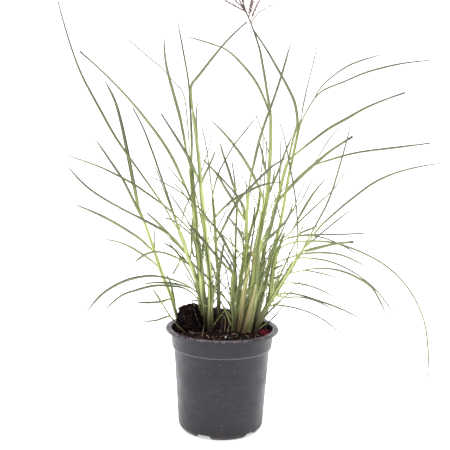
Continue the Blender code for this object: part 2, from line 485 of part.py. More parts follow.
def plan_blades():
    """Every stem, leaf and plume with its line, in the order they are given room."""
    blades = []
    stems = {}
    for name, foot, head, depth_foot, depth_head, front in STEMS:
        stem = Blade(name, "stem", front, depth_foot, depth_head, (foot, head), (0, 0))
        make_room(stem, [(other.line(), other.reach()) for other in blades])
        stems[name] = stem
        blades.append(stem)
    parents = dict(stems)
    for name, width, turn_foot, turn_tip, depth_tip, front in JOINED_LEAVES:
        stem = stems[name]
        leaf = sprouting(name, stem, front, depth_tip, width, (turn_foot, turn_tip))
        settle(leaf, blades, name)
    for name, stem_name, width, turn_foot, turn_tip, depth_tip, front in WIDE_LEAVES:
        stem = stems[stem_name]
        leaf = sprouting(name, stem, front, depth_tip, width, (turn_foot, turn_tip))
        leaf.stem = stem
        settle(leaf, blades, name, stem)
        parents[name] = leaf
    for name, width, turn_foot, turn_tip, depth_tip, front in LEAF_FORKS:
        leaf = sprouting(name, parents[name], front, depth_tip, width, (turn_foot, turn_tip))
        settle(leaf, blades, name)
    axis = None
    for depth_tip, front in PLUMES:
        if axis is None:
            plume = Blade("flower_head", "plume", front, stems["stem_flower"].tip_depth, depth_tip, (1, 1), (0, 0))
            axis = plume
        else:
            plume = sprouting("flower_head", axis, front, depth_tip, 1.0, (0, 0))
            plume.kind = "plume"
        settle(plume, blades, "flower_head", stems["stem_flower"])
    return blades


def sprouting(piece, parent, front, depth_tip, width, turns):
    """A leaf whose foot is set on the line of the stem or leaf it springs from."""
    places = parent.faceted_line()
    seats = front_points(places)
    best = int(np.argmin(np.hypot(seats[:, 0] - front[0][0], seats[:, 1] - front[0][1])))
    path = [tuple(seats[best])] + list(front[1:])
    return Blade(piece, "leaf", path, float(places[best][1]), depth_tip, (width, width), turns)


def settle(blade, blades, piece, stem=None):
    """Find room for a blade among all earlier ones outside its own piece."""
    others = []
    for other in blades:
        if other.piece == piece:
            continue
        line, reach = other.line(), other.reach()
        if other is stem:
            far = np.linalg.norm(line - blade.line()[0], axis=1) > FOOT_ZONE
            line, reach = line[far], reach[far]
        if len(line):
            others.append((line, reach))
    make_room(blade, others)
    blades.append(blade)


def frames(points):
    """Tangent, sideways and face directions at every point of a line."""
    tangents = np.gradient(points, axis=0)
    tangents /= np.linalg.norm(tangents, axis=1)[:, None]
    chord = points[-1] - points[0]
    level = np.cross(chord, [0.0, 0.0, 1.0])
    if np.linalg.norm(level) < 0.02 * np.linalg.norm(chord):
        level = np.array([0.0, 1.0, 0.0])
    sides = []
    faces = []
    for tangent in tangents:
        side = level - tangent * np.dot(level, tangent)
        side /= np.linalg.norm(side)
        sides.append(side)
        faces.append(np.cross(side, tangent))
    return tangents, np.array(sides), np.array(faces)


def thin_out(line, step):
    """Every so many samples of a line, always keeping both ends, with their shares."""
    length = float(np.linalg.norm(np.diff(line, axis=0), axis=1).sum())
    count = int(np.clip(round(length / step), 3, 12))
    picks = np.unique(np.round(np.linspace(0, len(line) - 1, count + 1)).astype(int))
    return line[picks], picks / (len(line) - 1)


def ring_body(name, rings):
    """A closed body lofted through rings of equal point count, with flat ends."""
    mesh = bmesh.new()
    loops = [[mesh.verts.new(Vector(point) * MM) for point in ring] for ring in rings]
    around = len(rings[0])
    for lower, upper in zip(loops, loops[1:]):
        for i in range(around):
            j = (i + 1) % around
            mesh.faces.new((lower[i], lower[j], upper[j], upper[i]))
    mesh.faces.new(list(reversed(loops[0])))
    mesh.faces.new(loops[-1])
    bmesh.ops.triangulate(mesh, faces=mesh.faces[:])
    bmesh.ops.recalc_face_normals(mesh, faces=mesh.faces[:])
    return finish_body(name, mesh)


def finish_body(name, mesh):
    """An object in the plant's own collection from a mesh in the making."""
    data = bpy.data.meshes.new(name)
    mesh.to_mesh(data)
    mesh.free()
    body = bpy.data.objects.new(name, data)
    own_collection(PLANT_COLLECTION).objects.link(body)
    return body


def own_collection(name):
    if name not in bpy.data.collections:
        bpy.context.scene.collection.children.link(bpy.data.collections.new(name))
    return bpy.data.collections[name]


def applied(body):
    """Turn a body's modifiers into its mesh."""
    bpy.context.view_layer.update()
    depsgraph = bpy.context.evaluated_depsgraph_get()
    data = bpy.data.meshes.new_from_object(body.evaluated_get(depsgraph))
    body.modifiers.clear()
    body.data = data
    return body


def tube(name, line, radii, sides, count=None):
    """A tapering rod along a line, or along only its first points."""
    _, across, up = frames(line)
    line = line[:count]
    rings = []
    for point, side, face, radius in zip(line, across, up, radii):
        ring = []
        for k in range(sides):
            turn = 2.0 * math.pi * k / sides
            ring.append(point + radius * (math.cos(turn) * side + math.sin(turn) * face))
        rings.append(ring)
    return ring_body(name, rings)


def leaf_body(name, blade):
    """A long narrow leaf with a keel along its underside."""
    line, shares = blade.corners()
    _, sides, faces = frames(line)
    widths = blade.widths[0] * leaf_width(shares)
    turns = np.radians(blade.turns[0] + (blade.turns[1] - blade.turns[0]) * shares)
    rings = []
    for point, side, face, width, turn in zip(line, sides, faces, widths, turns):
        along_width = math.cos(turn) * side + math.sin(turn) * face
        up = math.cos(turn) * face - math.sin(turn) * side
        edge = point + up * (LEAF_THICK - KEEL_DROP)
        rings.append([edge - along_width * width / 2, point - up * KEEL_DROP, edge + along_width * width / 2])
    return ring_body(name, rings)


def peat_height(x, y):
    """Height of the peat: a low dome with lumps, a tall clod at the left and a bank at the back."""
    from_axis = math.hypot(x, y)
    spread = from_axis / RIM_RADIUS
    lumps = 0.8 * math.sin(0.21 * x + 1.3) * math.cos(0.17 * y + 0.4) + 0.5 * math.sin(0.33 * x - 0.29 * y)
    clod_x, clod_y, half_x, half_y, rise = CLOD
    off = math.hypot((x - clod_x) / half_x, (y - clod_y) / half_y)
    clod = rise * min(1.0, max(0.0, (1.35 - off) / 0.65))
    bank = BANK_RISE * min(1.0, max(0.0, (y - BANK_START) / BANK_REACH))
    kept = max(EDGE_SHARE, min(1.0, (PEAT_RADIUS - from_axis) / EDGE_REACH))
    return PEAT_LEVEL + 2.5 * (1.0 - spread * spread) + lumps + kept * max(clod, bank)


def bury(stem):
    """The line of a stem carried on down into the peat below its foot."""
    line = stem.line()
    heights = np.array([peat_height(x, y) for x, y, _ in line])
    above = int(np.argmax(line[:, 2] > heights))
    lean = line[above + 3] - line[above]
    lean = lean / lean[2]
    start = line[above]
    foot = start - lean * (start[2] - heights[above] + PLANT_DEPTH)
    return np.vstack([[foot], line[above:]])


def stem_body(name, stem):
    line, shares = thin_out(bury(stem), STEM_STEP)
    return tube(name, line, stem_radius(stem, shares), 6)


def plume_body(name, blade):
    line, shares = thin_out(blade.line(), PLUME_STEP)
    return tube(name, line, PLUME_RADIUS * (1.0 - 0.6 * shares), 3)


def cut(body, cutter, operation):
    """Join a cutter to a body or take it away, and remove the cutter."""
    own_collection(PLANT_COLLECTION).objects.unlink(cutter)
    own_collection(CUTTER_COLLECTION).objects.link(cutter)
    cutter.hide_render = True
    cutter.display_type = "WIRE"
    change = body.modifiers.new("cut", "BOOLEAN")
    change.object = cutter
    change.operation = operation
    change.solver = "EXACT"
    applied(body)
    bpy.data.objects.remove(cutter)


def clean(body):
    """Merge stray points and leave only flat triangles, faces out."""
    mesh = bmesh.new()
    mesh.from_mesh(body.data)
    bmesh.ops.remove_doubles(mesh, verts=mesh.verts[:], dist=MERGE * MM)
    bmesh.ops.triangulate(mesh, faces=mesh.faces[:])
    bmesh.ops.recalc_face_normals(mesh, faces=mesh.faces[:])
    mesh.to_mesh(body.data)
    mesh.free()


def turned(name, profile):
    """A body turned round the pot's axis from an outline of radius and height, top to bottom."""
    mesh = bmesh.new()
    start = math.pi / POT_STEPS
    points = [mesh.verts.new(Vector((radius * math.cos(start), radius * math.sin(start), z)) * MM)
              for radius, z in profile]
    for upper, lower in zip(points, points[1:]):
        mesh.edges.new((upper, lower))
    body = finish_body(name, mesh)
    turning = body.modifiers.new("turning", "SCREW")
    turning.axis = "Z"
    turning.steps = POT_STEPS
    turning.render_steps = POT_STEPS
    turning.use_merge_vertices = True
    turning.merge_threshold = SCREW_MERGE * MM
    applied(body)
    clean(body)
    return body


def make_pot():
    """A round nursery pot: drain slots at its foot, a collar, and a lip turned out at its rim."""
    inside = [
        (0.0, FLOOR), (BASE_RADIUS - 0.6, FLOOR), (BODY_FOOT_RADIUS - WALL - 0.2, BODY_FOOT_Z + 1.2),
        (BODY_TOP_RADIUS - WALL, COLLAR_FOOT_Z), (COLLAR_FOOT_RADIUS - WALL, COLLAR_FOOT_Z + 1.6),
        (COLLAR_TOP_RADIUS - WALL, POT_HEIGHT - 0.4),
    ]
    lip = [
        (RIM_RADIUS - 2.4, POT_HEIGHT), (RIM_RADIUS - 0.6, POT_HEIGHT - 0.3),
        (RIM_RADIUS, POT_HEIGHT - LIP_HEIGHT + 1.2), (RIM_RADIUS - 0.4, POT_HEIGHT - LIP_HEIGHT),
    ]
    outside = [
        (COLLAR_TOP_RADIUS, POT_HEIGHT - LIP_HEIGHT - 0.6), (COLLAR_FOOT_RADIUS, COLLAR_FOOT_Z),
        (BODY_TOP_RADIUS, COLLAR_FOOT_Z - 0.6), (BODY_FOOT_RADIUS, BODY_FOOT_Z), (BASE_RADIUS, 0.0), (0.0, 0.0),
    ]
    pot = turned("pot", inside + lip + outside)
    for k in range(NOTCH_COUNT):
        turn = math.radians(NOTCH_FIRST_DEG + 360.0 * k / NOTCH_COUNT)
        pot_notch(pot, turn)
    return pot


def pot_notch(pot, turn):
    """One drain slot through the foot of the wall."""
    out = np.array([math.cos(turn), math.sin(turn), 0.0])
    side = np.array([-math.sin(turn), math.cos(turn), 0.0])
    half = NOTCH_WIDTH / 2
    rings = []
    for reach in (BASE_RADIUS - 3.5, BODY_FOOT_RADIUS + 6.0):
        corners = [(-half, -1.0), (half, -1.0), (half, NOTCH_HEIGHT), (-half, NOTCH_HEIGHT)]
        rings.append([out * reach + side * across + np.array([0.0, 0.0, z]) for across, z in corners])
    cut(pot, ring_body("notch", rings), "DIFFERENCE")


def make_peat(stems):
    """Peat filling the pot to just clear of its wall, with a socket for every stem."""
    top = [(radius, PEAT_LEVEL) for radius in np.linspace(0.0, PEAT_RADIUS, PEAT_RINGS)]
    wall = [(COLLAR_FOOT_RADIUS - WALL, COLLAR_FOOT_Z + 1.9), (BODY_TOP_RADIUS - WALL, COLLAR_FOOT_Z + 0.2),
            (BODY_FOOT_RADIUS - WALL - 0.2, BODY_FOOT_Z + 1.3), (BASE_RADIUS - 0.9, FLOOR)]
    under = [(radius - PEAT_GAP, z + PEAT_GAP) for radius, z in wall] + [(0.0, FLOOR + PEAT_GAP)]
    peat = turned("peat", top + under)
    for vert in peat.data.vertices:
        x, y, z = vert.co / MM
        if abs(z - PEAT_LEVEL) < PEAT_GAP:
            vert.co.z = peat_height(x, y) * MM
    for stem in stems:
        cut(peat, socket(stem), "DIFFERENCE")
    return peat


def socket(stem):
    """The room a stem takes in the peat, a little wider than the stem."""
    line, shares = thin_out(bury(stem), STEM_STEP)
    count = max(2, int(np.sum(line[:, 2] < SOCKET_TOP)) + 1)
    radii = stem_radius(stem, shares) + SOCKET_GAP
    lean = line[1] - line[0]
    deeper = line.copy()
    deeper[0] -= lean / np.linalg.norm(lean) * SOCKET_GAP
    return tube("socket", deeper, radii, 6, count)


def make_granules(peat):
    """A thin heap of granules lying on the peat."""
    centre_x, centre_y, half_x, half_y = GRANULE_PATCH
    tree = BVHTree.FromObject(peat, bpy.context.evaluated_depsgraph_get())
    mesh = bmesh.new()
    bmesh.ops.create_uvsphere(mesh, u_segments=GRANULE_STEPS, v_segments=GRANULE_STEPS // 2, radius=1.0)
    for vert in mesh.verts:
        edge = 1.0 + 0.12 * math.sin(3.0 * math.atan2(vert.co.y, vert.co.x) + 0.6)
        x = centre_x + half_x * edge * vert.co.x
        y = centre_y + half_y * edge * vert.co.y
        peat_top = tree.ray_cast(Vector((x, y, 300.0)) * MM, Vector((0.0, 0.0, -1.0)))[0]
        vert.co = Vector((x, y, peat_top.z / MM + GRANULE_GAP + GRANULE_HEIGHT * max(0.0, vert.co.z))) * MM
    return finish_body("red_granules", mesh)


def plain_material(name, colour, roughness):
    material = bpy.data.materials.new(name)
    material.use_nodes = True
    shader = material.node_tree.nodes["Principled BSDF"]
    shader.inputs["Base Color"].default_value = (*colour, 1.0)
    shader.inputs["Roughness"].default_value = roughness
    return material


def piece_colour(name):
    if name in COLOURS:
        return COLOURS[name]
    for start, colour in COLOURS.items():
        if name.startswith(start):
            return colour
    return COLOURS["leaf"]


def build():
    for old in list(bpy.data.objects):
        bpy.data.objects.remove(old)
    blades = plan_blades()
    bodies = {"pot": make_pot()}
    stems = [blade for blade in blades if blade.kind == "stem"]
    bodies["peat"] = make_peat(stems)
    bodies["red_granules"] = make_granules(bodies["peat"])
    makers = {"stem": stem_body, "leaf": leaf_body, "plume": plume_body}
    for blade in blades:
        part = makers[blade.kind](blade.piece, blade)
        if blade.piece in bodies:
            cut(bodies[blade.piece], part, "UNION")
        else:
            bodies[blade.piece] = part
    for name, body in bodies.items():
        clean(body)
        body.name = name
        body.data.name = name
        body.data.materials.clear()
        body.data.materials.append(plain_material(name, *piece_colour(name)))


build()
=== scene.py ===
"""Looks of the potted miscanthus grass clump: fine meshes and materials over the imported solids.

The blades follow the same front points as the part: millimetres on the upright plane
through the pot's axis, set forward or back along the line of sight.
"""

import json
import math

import bmesh
import bpy
import numpy as np
from mathutils import Matrix, Vector, noise

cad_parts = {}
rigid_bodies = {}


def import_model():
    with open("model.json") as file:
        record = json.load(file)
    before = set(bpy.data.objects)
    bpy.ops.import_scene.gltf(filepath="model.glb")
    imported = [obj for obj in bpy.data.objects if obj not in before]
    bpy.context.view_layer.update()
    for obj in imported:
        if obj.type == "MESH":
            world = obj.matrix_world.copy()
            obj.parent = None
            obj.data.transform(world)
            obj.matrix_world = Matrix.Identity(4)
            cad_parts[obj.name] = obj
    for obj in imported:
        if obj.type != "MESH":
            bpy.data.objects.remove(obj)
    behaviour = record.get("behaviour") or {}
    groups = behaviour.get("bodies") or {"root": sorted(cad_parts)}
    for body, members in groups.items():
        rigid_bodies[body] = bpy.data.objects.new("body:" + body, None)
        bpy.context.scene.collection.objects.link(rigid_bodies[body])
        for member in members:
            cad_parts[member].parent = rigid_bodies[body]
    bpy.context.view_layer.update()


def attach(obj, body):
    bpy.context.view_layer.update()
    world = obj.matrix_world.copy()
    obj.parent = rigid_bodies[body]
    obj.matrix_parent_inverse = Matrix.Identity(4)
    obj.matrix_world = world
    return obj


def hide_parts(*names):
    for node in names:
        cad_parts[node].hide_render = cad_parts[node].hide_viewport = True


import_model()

MM = 0.001

# Pot, in millimetres
POT_HEIGHT = 137.0
RIM_RADIUS = 75.0
LIP_HEIGHT = 3.8
COLLAR_TOP_RADIUS = 68.2
COLLAR_FOOT_RADIUS = 66.2
COLLAR_FOOT_Z = 111.5
BODY_TOP_RADIUS = 63.7
BODY_FOOT_RADIUS = 56.6
BODY_FOOT_Z = 6.0
BASE_RADIUS = 51.0
WALL = 1.6
FLOOR = 8.6
BASE_RECESS = 6.3
FOOT_RING_INSIDE = 47.5
POT_STEPS = 192
NOTCH_COUNT = 5
NOTCH_WIDTH = 22.0
NOTCH_HEIGHT = 6.0
NOTCH_FIRST_DEG = -114.0

# Peat
PEAT_LEVEL = 129.0
PEAT_RADIUS = 65.4
PEAT_RINGS = 70
PEAT_STEPS = 180
PEAT_EDGE_SINK = 1.6
CLOD = (-43.0, 12.0, 19.0, 17.0, 29.0)
BANK_START = 33.0
BANK_REACH = 12.0
BANK_RISE = 16.0
EDGE_SHARE = 0.45
EDGE_REACH = 6.0
PEAT_FOOT_RADIUS = 62.0
CRUMBS = 2100
RIM_CRUMBS = 60
LUMP_RINGS = 5
LUMP_SIDES = 7

# Straw, roots and old stubs in the peat
FIBRES = 80
THREAD_TAPER = (0.6, 1.0, 1.0, 1.0, 1.0, 1.0, 1.0, 1.0, 1.0, 0.9, 0.75, 0.5, 0.2)
THREAD_SIDES = 5
OLD_STUBS = 16
STUB_RINGS = 9
STUB_SIDES = 8

# Granules lying on the peat: centre and half sizes of their patch
GRANULE_PATCH = (55.0, -5.0, 9.5, 12.5)
GRANULES = 310

# The eye the front points were taken from, and how it looks
EYE = (1.0, -950.0, 390.0)
LOOK_DOWN_DEG = 7.0
LOOK_TURN_DEG = 1.15
FOCAL_SHARE = 1.62
SENSOR = 36.0

# Blades
SAMPLES = 61
CLEARANCE = 0.45
NEAREST_VIEW = 0.75
FOOT_ZONE = 22.0
FOOT_GAP = 0.35
FOOT_ROUNDS = 30
AXIS_SAMPLES = 241
STEM_STEP = 26.0
LEAF_STEP = 30.0
ROOM_ROUNDS = 7
ROOM_STEPS = [sign * 4.0 * k for k in range(1, 15) for sign in (1, -1)]
PLUME_RADIUS = 1.1
PLUME_STALK = 1.7
PLUME_TWIG = 0.75
LEAF_THICK = 0.38
LEAF_ACROSS = (-1.0, -0.55, -0.12, 0.12, 0.55, 1.0, 0.55, 0.0, -0.55)
LEAF_TOP = 6
LEAF_WAVE_DEG = 9.0
LEAF_RINGS = 49
TUFT_RINGS = 25
PLUME_RINGS = 41
PLUME_SIDES = 6
CUT_WIDTH = 0.68
CUT_TURN = 50.0
LEAST_TURN = 52.0
LEAST_FOOT_TURN = 42.0
WIDE_LEAF = 4.4
FINE_SPAN = 1.8
FINE_GAIN = 0.25
STEM_RINGS = 121
STEM_SIDES = 14
STEM_FULL_HEIGHT = 560.0
SHEATH_STEP = 0.24
STEM_SWELL = 0.22
PLANT_DEPTH = 9.0
SPIKELET_STEP = 2.3
SPIKELET_LENGTH = 4.2
SPIKELET_RADIUS = 0.52
SPIKELET_SIDES = 5
HAIR_WIDTH = 0.1

# Bits of straw and root: radius, tint, and front points with how high each is lifted
STRAWS = [
    (0.5, 0.8, [(-62, 139, 0.5), (-60.5, 138, 1.0), (-57, 135, 0.5)]),
    (0.4, 0.45, [(-26, 122, 0.0), (-25.5, 130, 4.0), (-24, 139, 9.0)]),
    (0.4, 0.3, [(-17, 125, 0.0), (-15.5, 134, 6.0), (-13, 146, 15.0)]),
    (0.45, 0.75, [(3, 128, 0.0), (4, 142, 12.0), (2, 151, 20.0), (-4, 150, 20.0)]),
    (0.4, 0.5, [(7, 127, 0.0), (9, 142, 12.0), (6, 154, 22.0), (10, 158, 25.0)]),
    (0.4, 0.55, [(-8, 124, 0.5), (-2, 122, 1.0), (3, 124, 0.5)]),
    (0.4, 0.8, [(12, 124, 0.5), (16, 127, 2.0), (22, 125, 0.5)]),
    (0.35, 0.6, [(-49, 133, 0.5), (-42, 128, 1.0), (-36, 127, 0.5)]),
    (0.3, 0.7, [(30, 121, 0.3), (35, 122, 0.8), (40, 121, 0.3)]),
]

# Pale crumbs: front point and size
GRIT = [(5, 121, 1.3), (28, 127, 1.2), (9, 120.5, 0.7), (-20, 123, 0.6), (33, 124, 0.8)]

# Leaves cut off blunt: the front point of each cut end
CUT_ENDS = [(229, 449), (-189, 493), (-126, 508), (164, 392), (264, 385), (184, 266), (171, 254),
            (164, 127), (-121, 423), (24, 534), (32, 524), (-84, 416), (-37.6, 431)]
CUT_REACH = 4.0

# Leaves that look slimmer than their solids, and by how much, of those wider than a limit
SLIM_ABOVE = 3.5
SLIMMER = {"stem_right_leaning": 0.6, "leaf_right_long": 0.78}

# Short blades and old sheaths crowded round the stems: how many a stem carries
TUFT_BLADES = {
    "stem_left_outer": 7, "stem_left_broad": 10, "stem_left_tall": 9, "stem_slim_left": 5, "stem_middle": 10,
    "stem_slim_middle": 6, "stem_straight": 9, "stem_pale": 8, "stem_flower": 10, "stem_right_inner": 9,
    "stem_right_tall": 8, "stem_right_back": 7, "stem_right_broad": 9, "stem_right_leaning": 6,
}

# Ranges of their lengths, widths, and leans and bows in degrees: those that spread, and those that clasp the stem
SPREADING = ((24.0, 96.0), (1.4, 2.6), (9.0, 34.0), (6.0, 30.0))
CLASPING = ((60.0, 135.0), (2.2, 3.6), (1.0, 7.0), (2.0, 9.0))

# How many times the usual number of florets a plume carries
PLUME_FULLNESS = {1: 2.0, 2: 1.8, 3: 1.8, 4: 1.8, 5: 2.0, 6: 5.0, 7: 2.4, 8: 0.9}

# Pieces that have dried, from 0 fresh to 1 straw
DRY_STEMS = {"dry_sheath_left": 0.9, "dry_sheath_right": 0.95, "stem_flower": 0.1}
DRY_STRIPS = ("dry_sheath_left", "dry_sheath_right")
STRIP_BROAD = 1.35
STRIP_FLAT = 0.6
DRY_LEAVES = {"leaf_far_left_pale": 0.5, "leaf_right_low_d": 0.2}

# Material and record slot of a piece by the first word of its name
PIECE_LOOKS = {
    "stem": ("stem", "stems"), "shoot": ("stem", "stems"), "dry": ("stem", "dry_sheaths"),
    "leaf": ("leaf", "leaves"), "flower": ("plume", "flower_head"),
}

# Colours, as shares of light in red, green and blue
POT_DARK = (0.0075, 0.006, 0.0108)
POT_LIGHT = (0.0145, 0.0118, 0.0198)
POT_STREAK = (0.03, 0.027, 0.036)
POT_SCUFF = (0.075, 0.07, 0.082)
# Pale of the painted highlights along the collar step and rim top
POT_EDGE_HIGHLIGHT = (0.17, 0.14, 0.15)
SOIL_DUST = (0.07, 0.045, 0.034)
# Near-black of the peat, also painted on the pot as shade under the lip and to darken its foot
PEAT_DARK_AND_SHADE = (0.004, 0.0014, 0.0022)
PEAT_BROWN = (0.013, 0.005, 0.0058)
PEAT_RED = (0.03, 0.012, 0.011)
PEAT_FLECK = (0.055, 0.034, 0.03)
STUB_BROWN = (0.03, 0.012, 0.011)
STRAW_DARK = (0.075, 0.042, 0.022)
STRAW_PALE = (0.36, 0.28, 0.14)
GRANULE_DARK = (0.012, 0.0006, 0.0022)
GRANULE_BRIGHT = (0.15, 0.002, 0.014)
LEAF_FOOT = (0.46, 0.53, 0.19)
LEAF_MIDDLE = (0.085, 0.1, 0.056)
LEAF_OLD = (0.16, 0.2, 0.08)
# Dark green of the blade margins, also painted as shade over one half of the blade
LEAF_MARGIN_AND_SHADE = (0.03, 0.037, 0.026)
LEAF_RIB = (0.27, 0.3, 0.15)
LEAF_PALE = (0.1, 0.107, 0.088)
LEAF_CUT = (0.03, 0.035, 0.028)
LEAF_HIGH = (0.07, 0.082, 0.058)
STEM_LIGHT = (0.37, 0.44, 0.13)
STEM_OLIVE = (0.06, 0.082, 0.028)
# Bright yellow green of the culms' streaks, partly painted highlights
STEM_STREAK_AND_HIGHLIGHT = (0.74, 0.82, 0.34)
STEM_TOP = (0.062, 0.075, 0.045)
STEM_FOOT = (0.33, 0.34, 0.17)
SOIL_BROWN = (0.035, 0.02, 0.012)
HUSK_BROWN = (0.075, 0.03, 0.014)
HUSK_TAN = (0.62, 0.57, 0.24)
PLUME_AXIS = (0.075, 0.07, 0.04)
PLUME_RED = (0.085, 0.032, 0.038)
PLUME_PALE = (0.25, 0.14, 0.145)
GRIT_PALE = (0.62, 0.6, 0.55)
GRIT_GREY = (0.36, 0.33, 0.28)
FLOOR_WHITE = (0.93, 0.93, 0.93)
FLOOR_WHITE_LOW = (0.915, 0.915, 0.92)
# The floor's glow: painted light that washes out the shadows on it
FLOOR_GLOW = 0.55

# Studio
SKY_FRONT = 0.15
SKY_ROUND = 1.3
SKY_SEEN = 1.1
TOP_POWER = 90.0

# Stems: name, foot radius, head radius, depth at foot, depth at head, front points
STEMS = [
    ("stem_far_left", 2.4, 1.7, 20, 42, [(-60, 147), (-65, 164), (-70, 180), (-78.6, 201), (-84, 215), (-91, 236),
         (-98, 256), (-108, 284)]),
    ("stem_left_outer", 3.1, 1.9, 9, -22, [(-28.5, 133), (-29, 160), (-31, 180), (-34, 196), (-41, 215), (-48, 233),
         (-52.6, 248), (-60, 266)]),
    ("stem_left_broad", 4.2, 2.7, 2, 14, [(-22, 130), (-22, 147), (-23, 166), (-26.5, 180), (-29.5, 209),
         (-32.5, 235), (-37, 260), (-38, 280), (-41, 305), (-42.5, 325), (-45, 350)]),
    ("stem_left_tall", 3.9, 1.8, -7, -20, [(-16, 127), (-16, 150), (-16, 178), (-17.5, 200), (-20, 224), (-23, 245),
         (-25, 265), (-27, 282), (-29, 301), (-31.5, 324), (-34, 352), (-37.6, 380), (-43.6, 422)]),
    ("stem_slim_left", 2.8, 1.5, 24, 30, [(-4, 137), (-5, 160), (-5.8, 190), (-7, 212), (-9.5, 232), (-10.5, 250),
         (-12.5, 275), (-16, 311)]),
    ("stem_middle", 3.6, 2.2, -4, 0, [(15, 130), (15.6, 150), (13.4, 166), (12.4, 178), (13, 197), (13.6, 212)]),
    ("stem_slim_middle", 2.2, 1.2, 34, 38, [(9, 142), (12, 165), (17, 190), (16, 215), (15.5, 240), (15.6, 270),
         (16.2, 300), (14.2, 318)]),
    ("stem_straight", 3.3, 1.8, 14, 20, [(20.5, 134), (21, 160), (22, 182), (24, 205), (27, 225), (30, 248),
         (28.9, 270), (30, 300), (31.2, 321)]),
    ("stem_pale", 2.8, 1.6, 27, 36, [(28.5, 140), (29, 165), (30, 195), (31, 225), (31.5, 250), (36.5, 272),
         (42, 288), (45, 303), (46, 322)]),
    ("stem_flower", 4.1, 1.7, 5, 12, [(28, 132), (31, 158), (36, 178), (39.3, 198), (40.4, 216), (41.6, 235),
         (44.2, 251), (47.5, 267), (50, 285), (54, 304), (56, 322), (57.6, 355), (57.8, 391), (56.8, 418), (53, 439),
         (48, 466), (42, 495)]),
    ("stem_right_inner", 3.2, 1.6, -7, -16, [(36, 129), (40, 152), (43.4, 175), (45.3, 200), (46.2, 222),
         (47.6, 240), (51, 256)]),
    ("stem_right_tall", 3.3, 1.8, 18, 24, [(40, 136), (46, 165), (49.5, 195), (51.5, 225), (54.8, 250), (59.4, 265),
         (63.2, 282), (66.6, 299), (70.8, 314), (74.5, 334), (78.3, 349), (82.5, 362)]),
    ("stem_right_back", 2.6, 1.5, 33, 42, [(43, 143), (51, 170), (57, 200), (62, 230), (68.5, 255), (73.5, 276),
         (77.2, 299), (80.5, 325), (84, 347), (87.5, 365), (93, 396), (96.8, 415)]),
    ("stem_right_broad", 3.6, 2.4, 7, -6, [(46.5, 133), (53, 150), (59, 164), (63, 178), (64.4, 192), (65.2, 210),
         (67, 226), (70, 237), (73, 247)]),
    ("stem_right_leaning", 3.2, 1.6, -10, -26, [(45, 128), (49, 145), (56, 160), (62.5, 171), (70, 183), (79.6, 200),
         (88, 214.5), (98, 233), (105, 243)]),
    ("shoot_left_rim", 1.1, 0.8, -14, -4, [(-52, 129.5), (-59, 136), (-65, 144), (-70, 150), (-76, 159),
         (-80.6, 166.5)]),
    ("shoot_right_rim", 1.1, 0.8, 13, 30, [(57, 133), (59.5, 139), (63, 145), (69.1, 151.4), (74, 158)]),
    ("dry_sheath_left", 2.3, 2.2, -10, -3, [(22.5, 130), (24.6, 148), (25.8, 165), (28, 182), (30, 196), (33, 214),
         (34.5, 224)]),
    ("dry_sheath_right", 2.1, 1.8, -17, -12, [(29, 127), (33, 146), (36.5, 161), (39.5, 174), (42.5, 186),
         (44.2, 195)]),
]

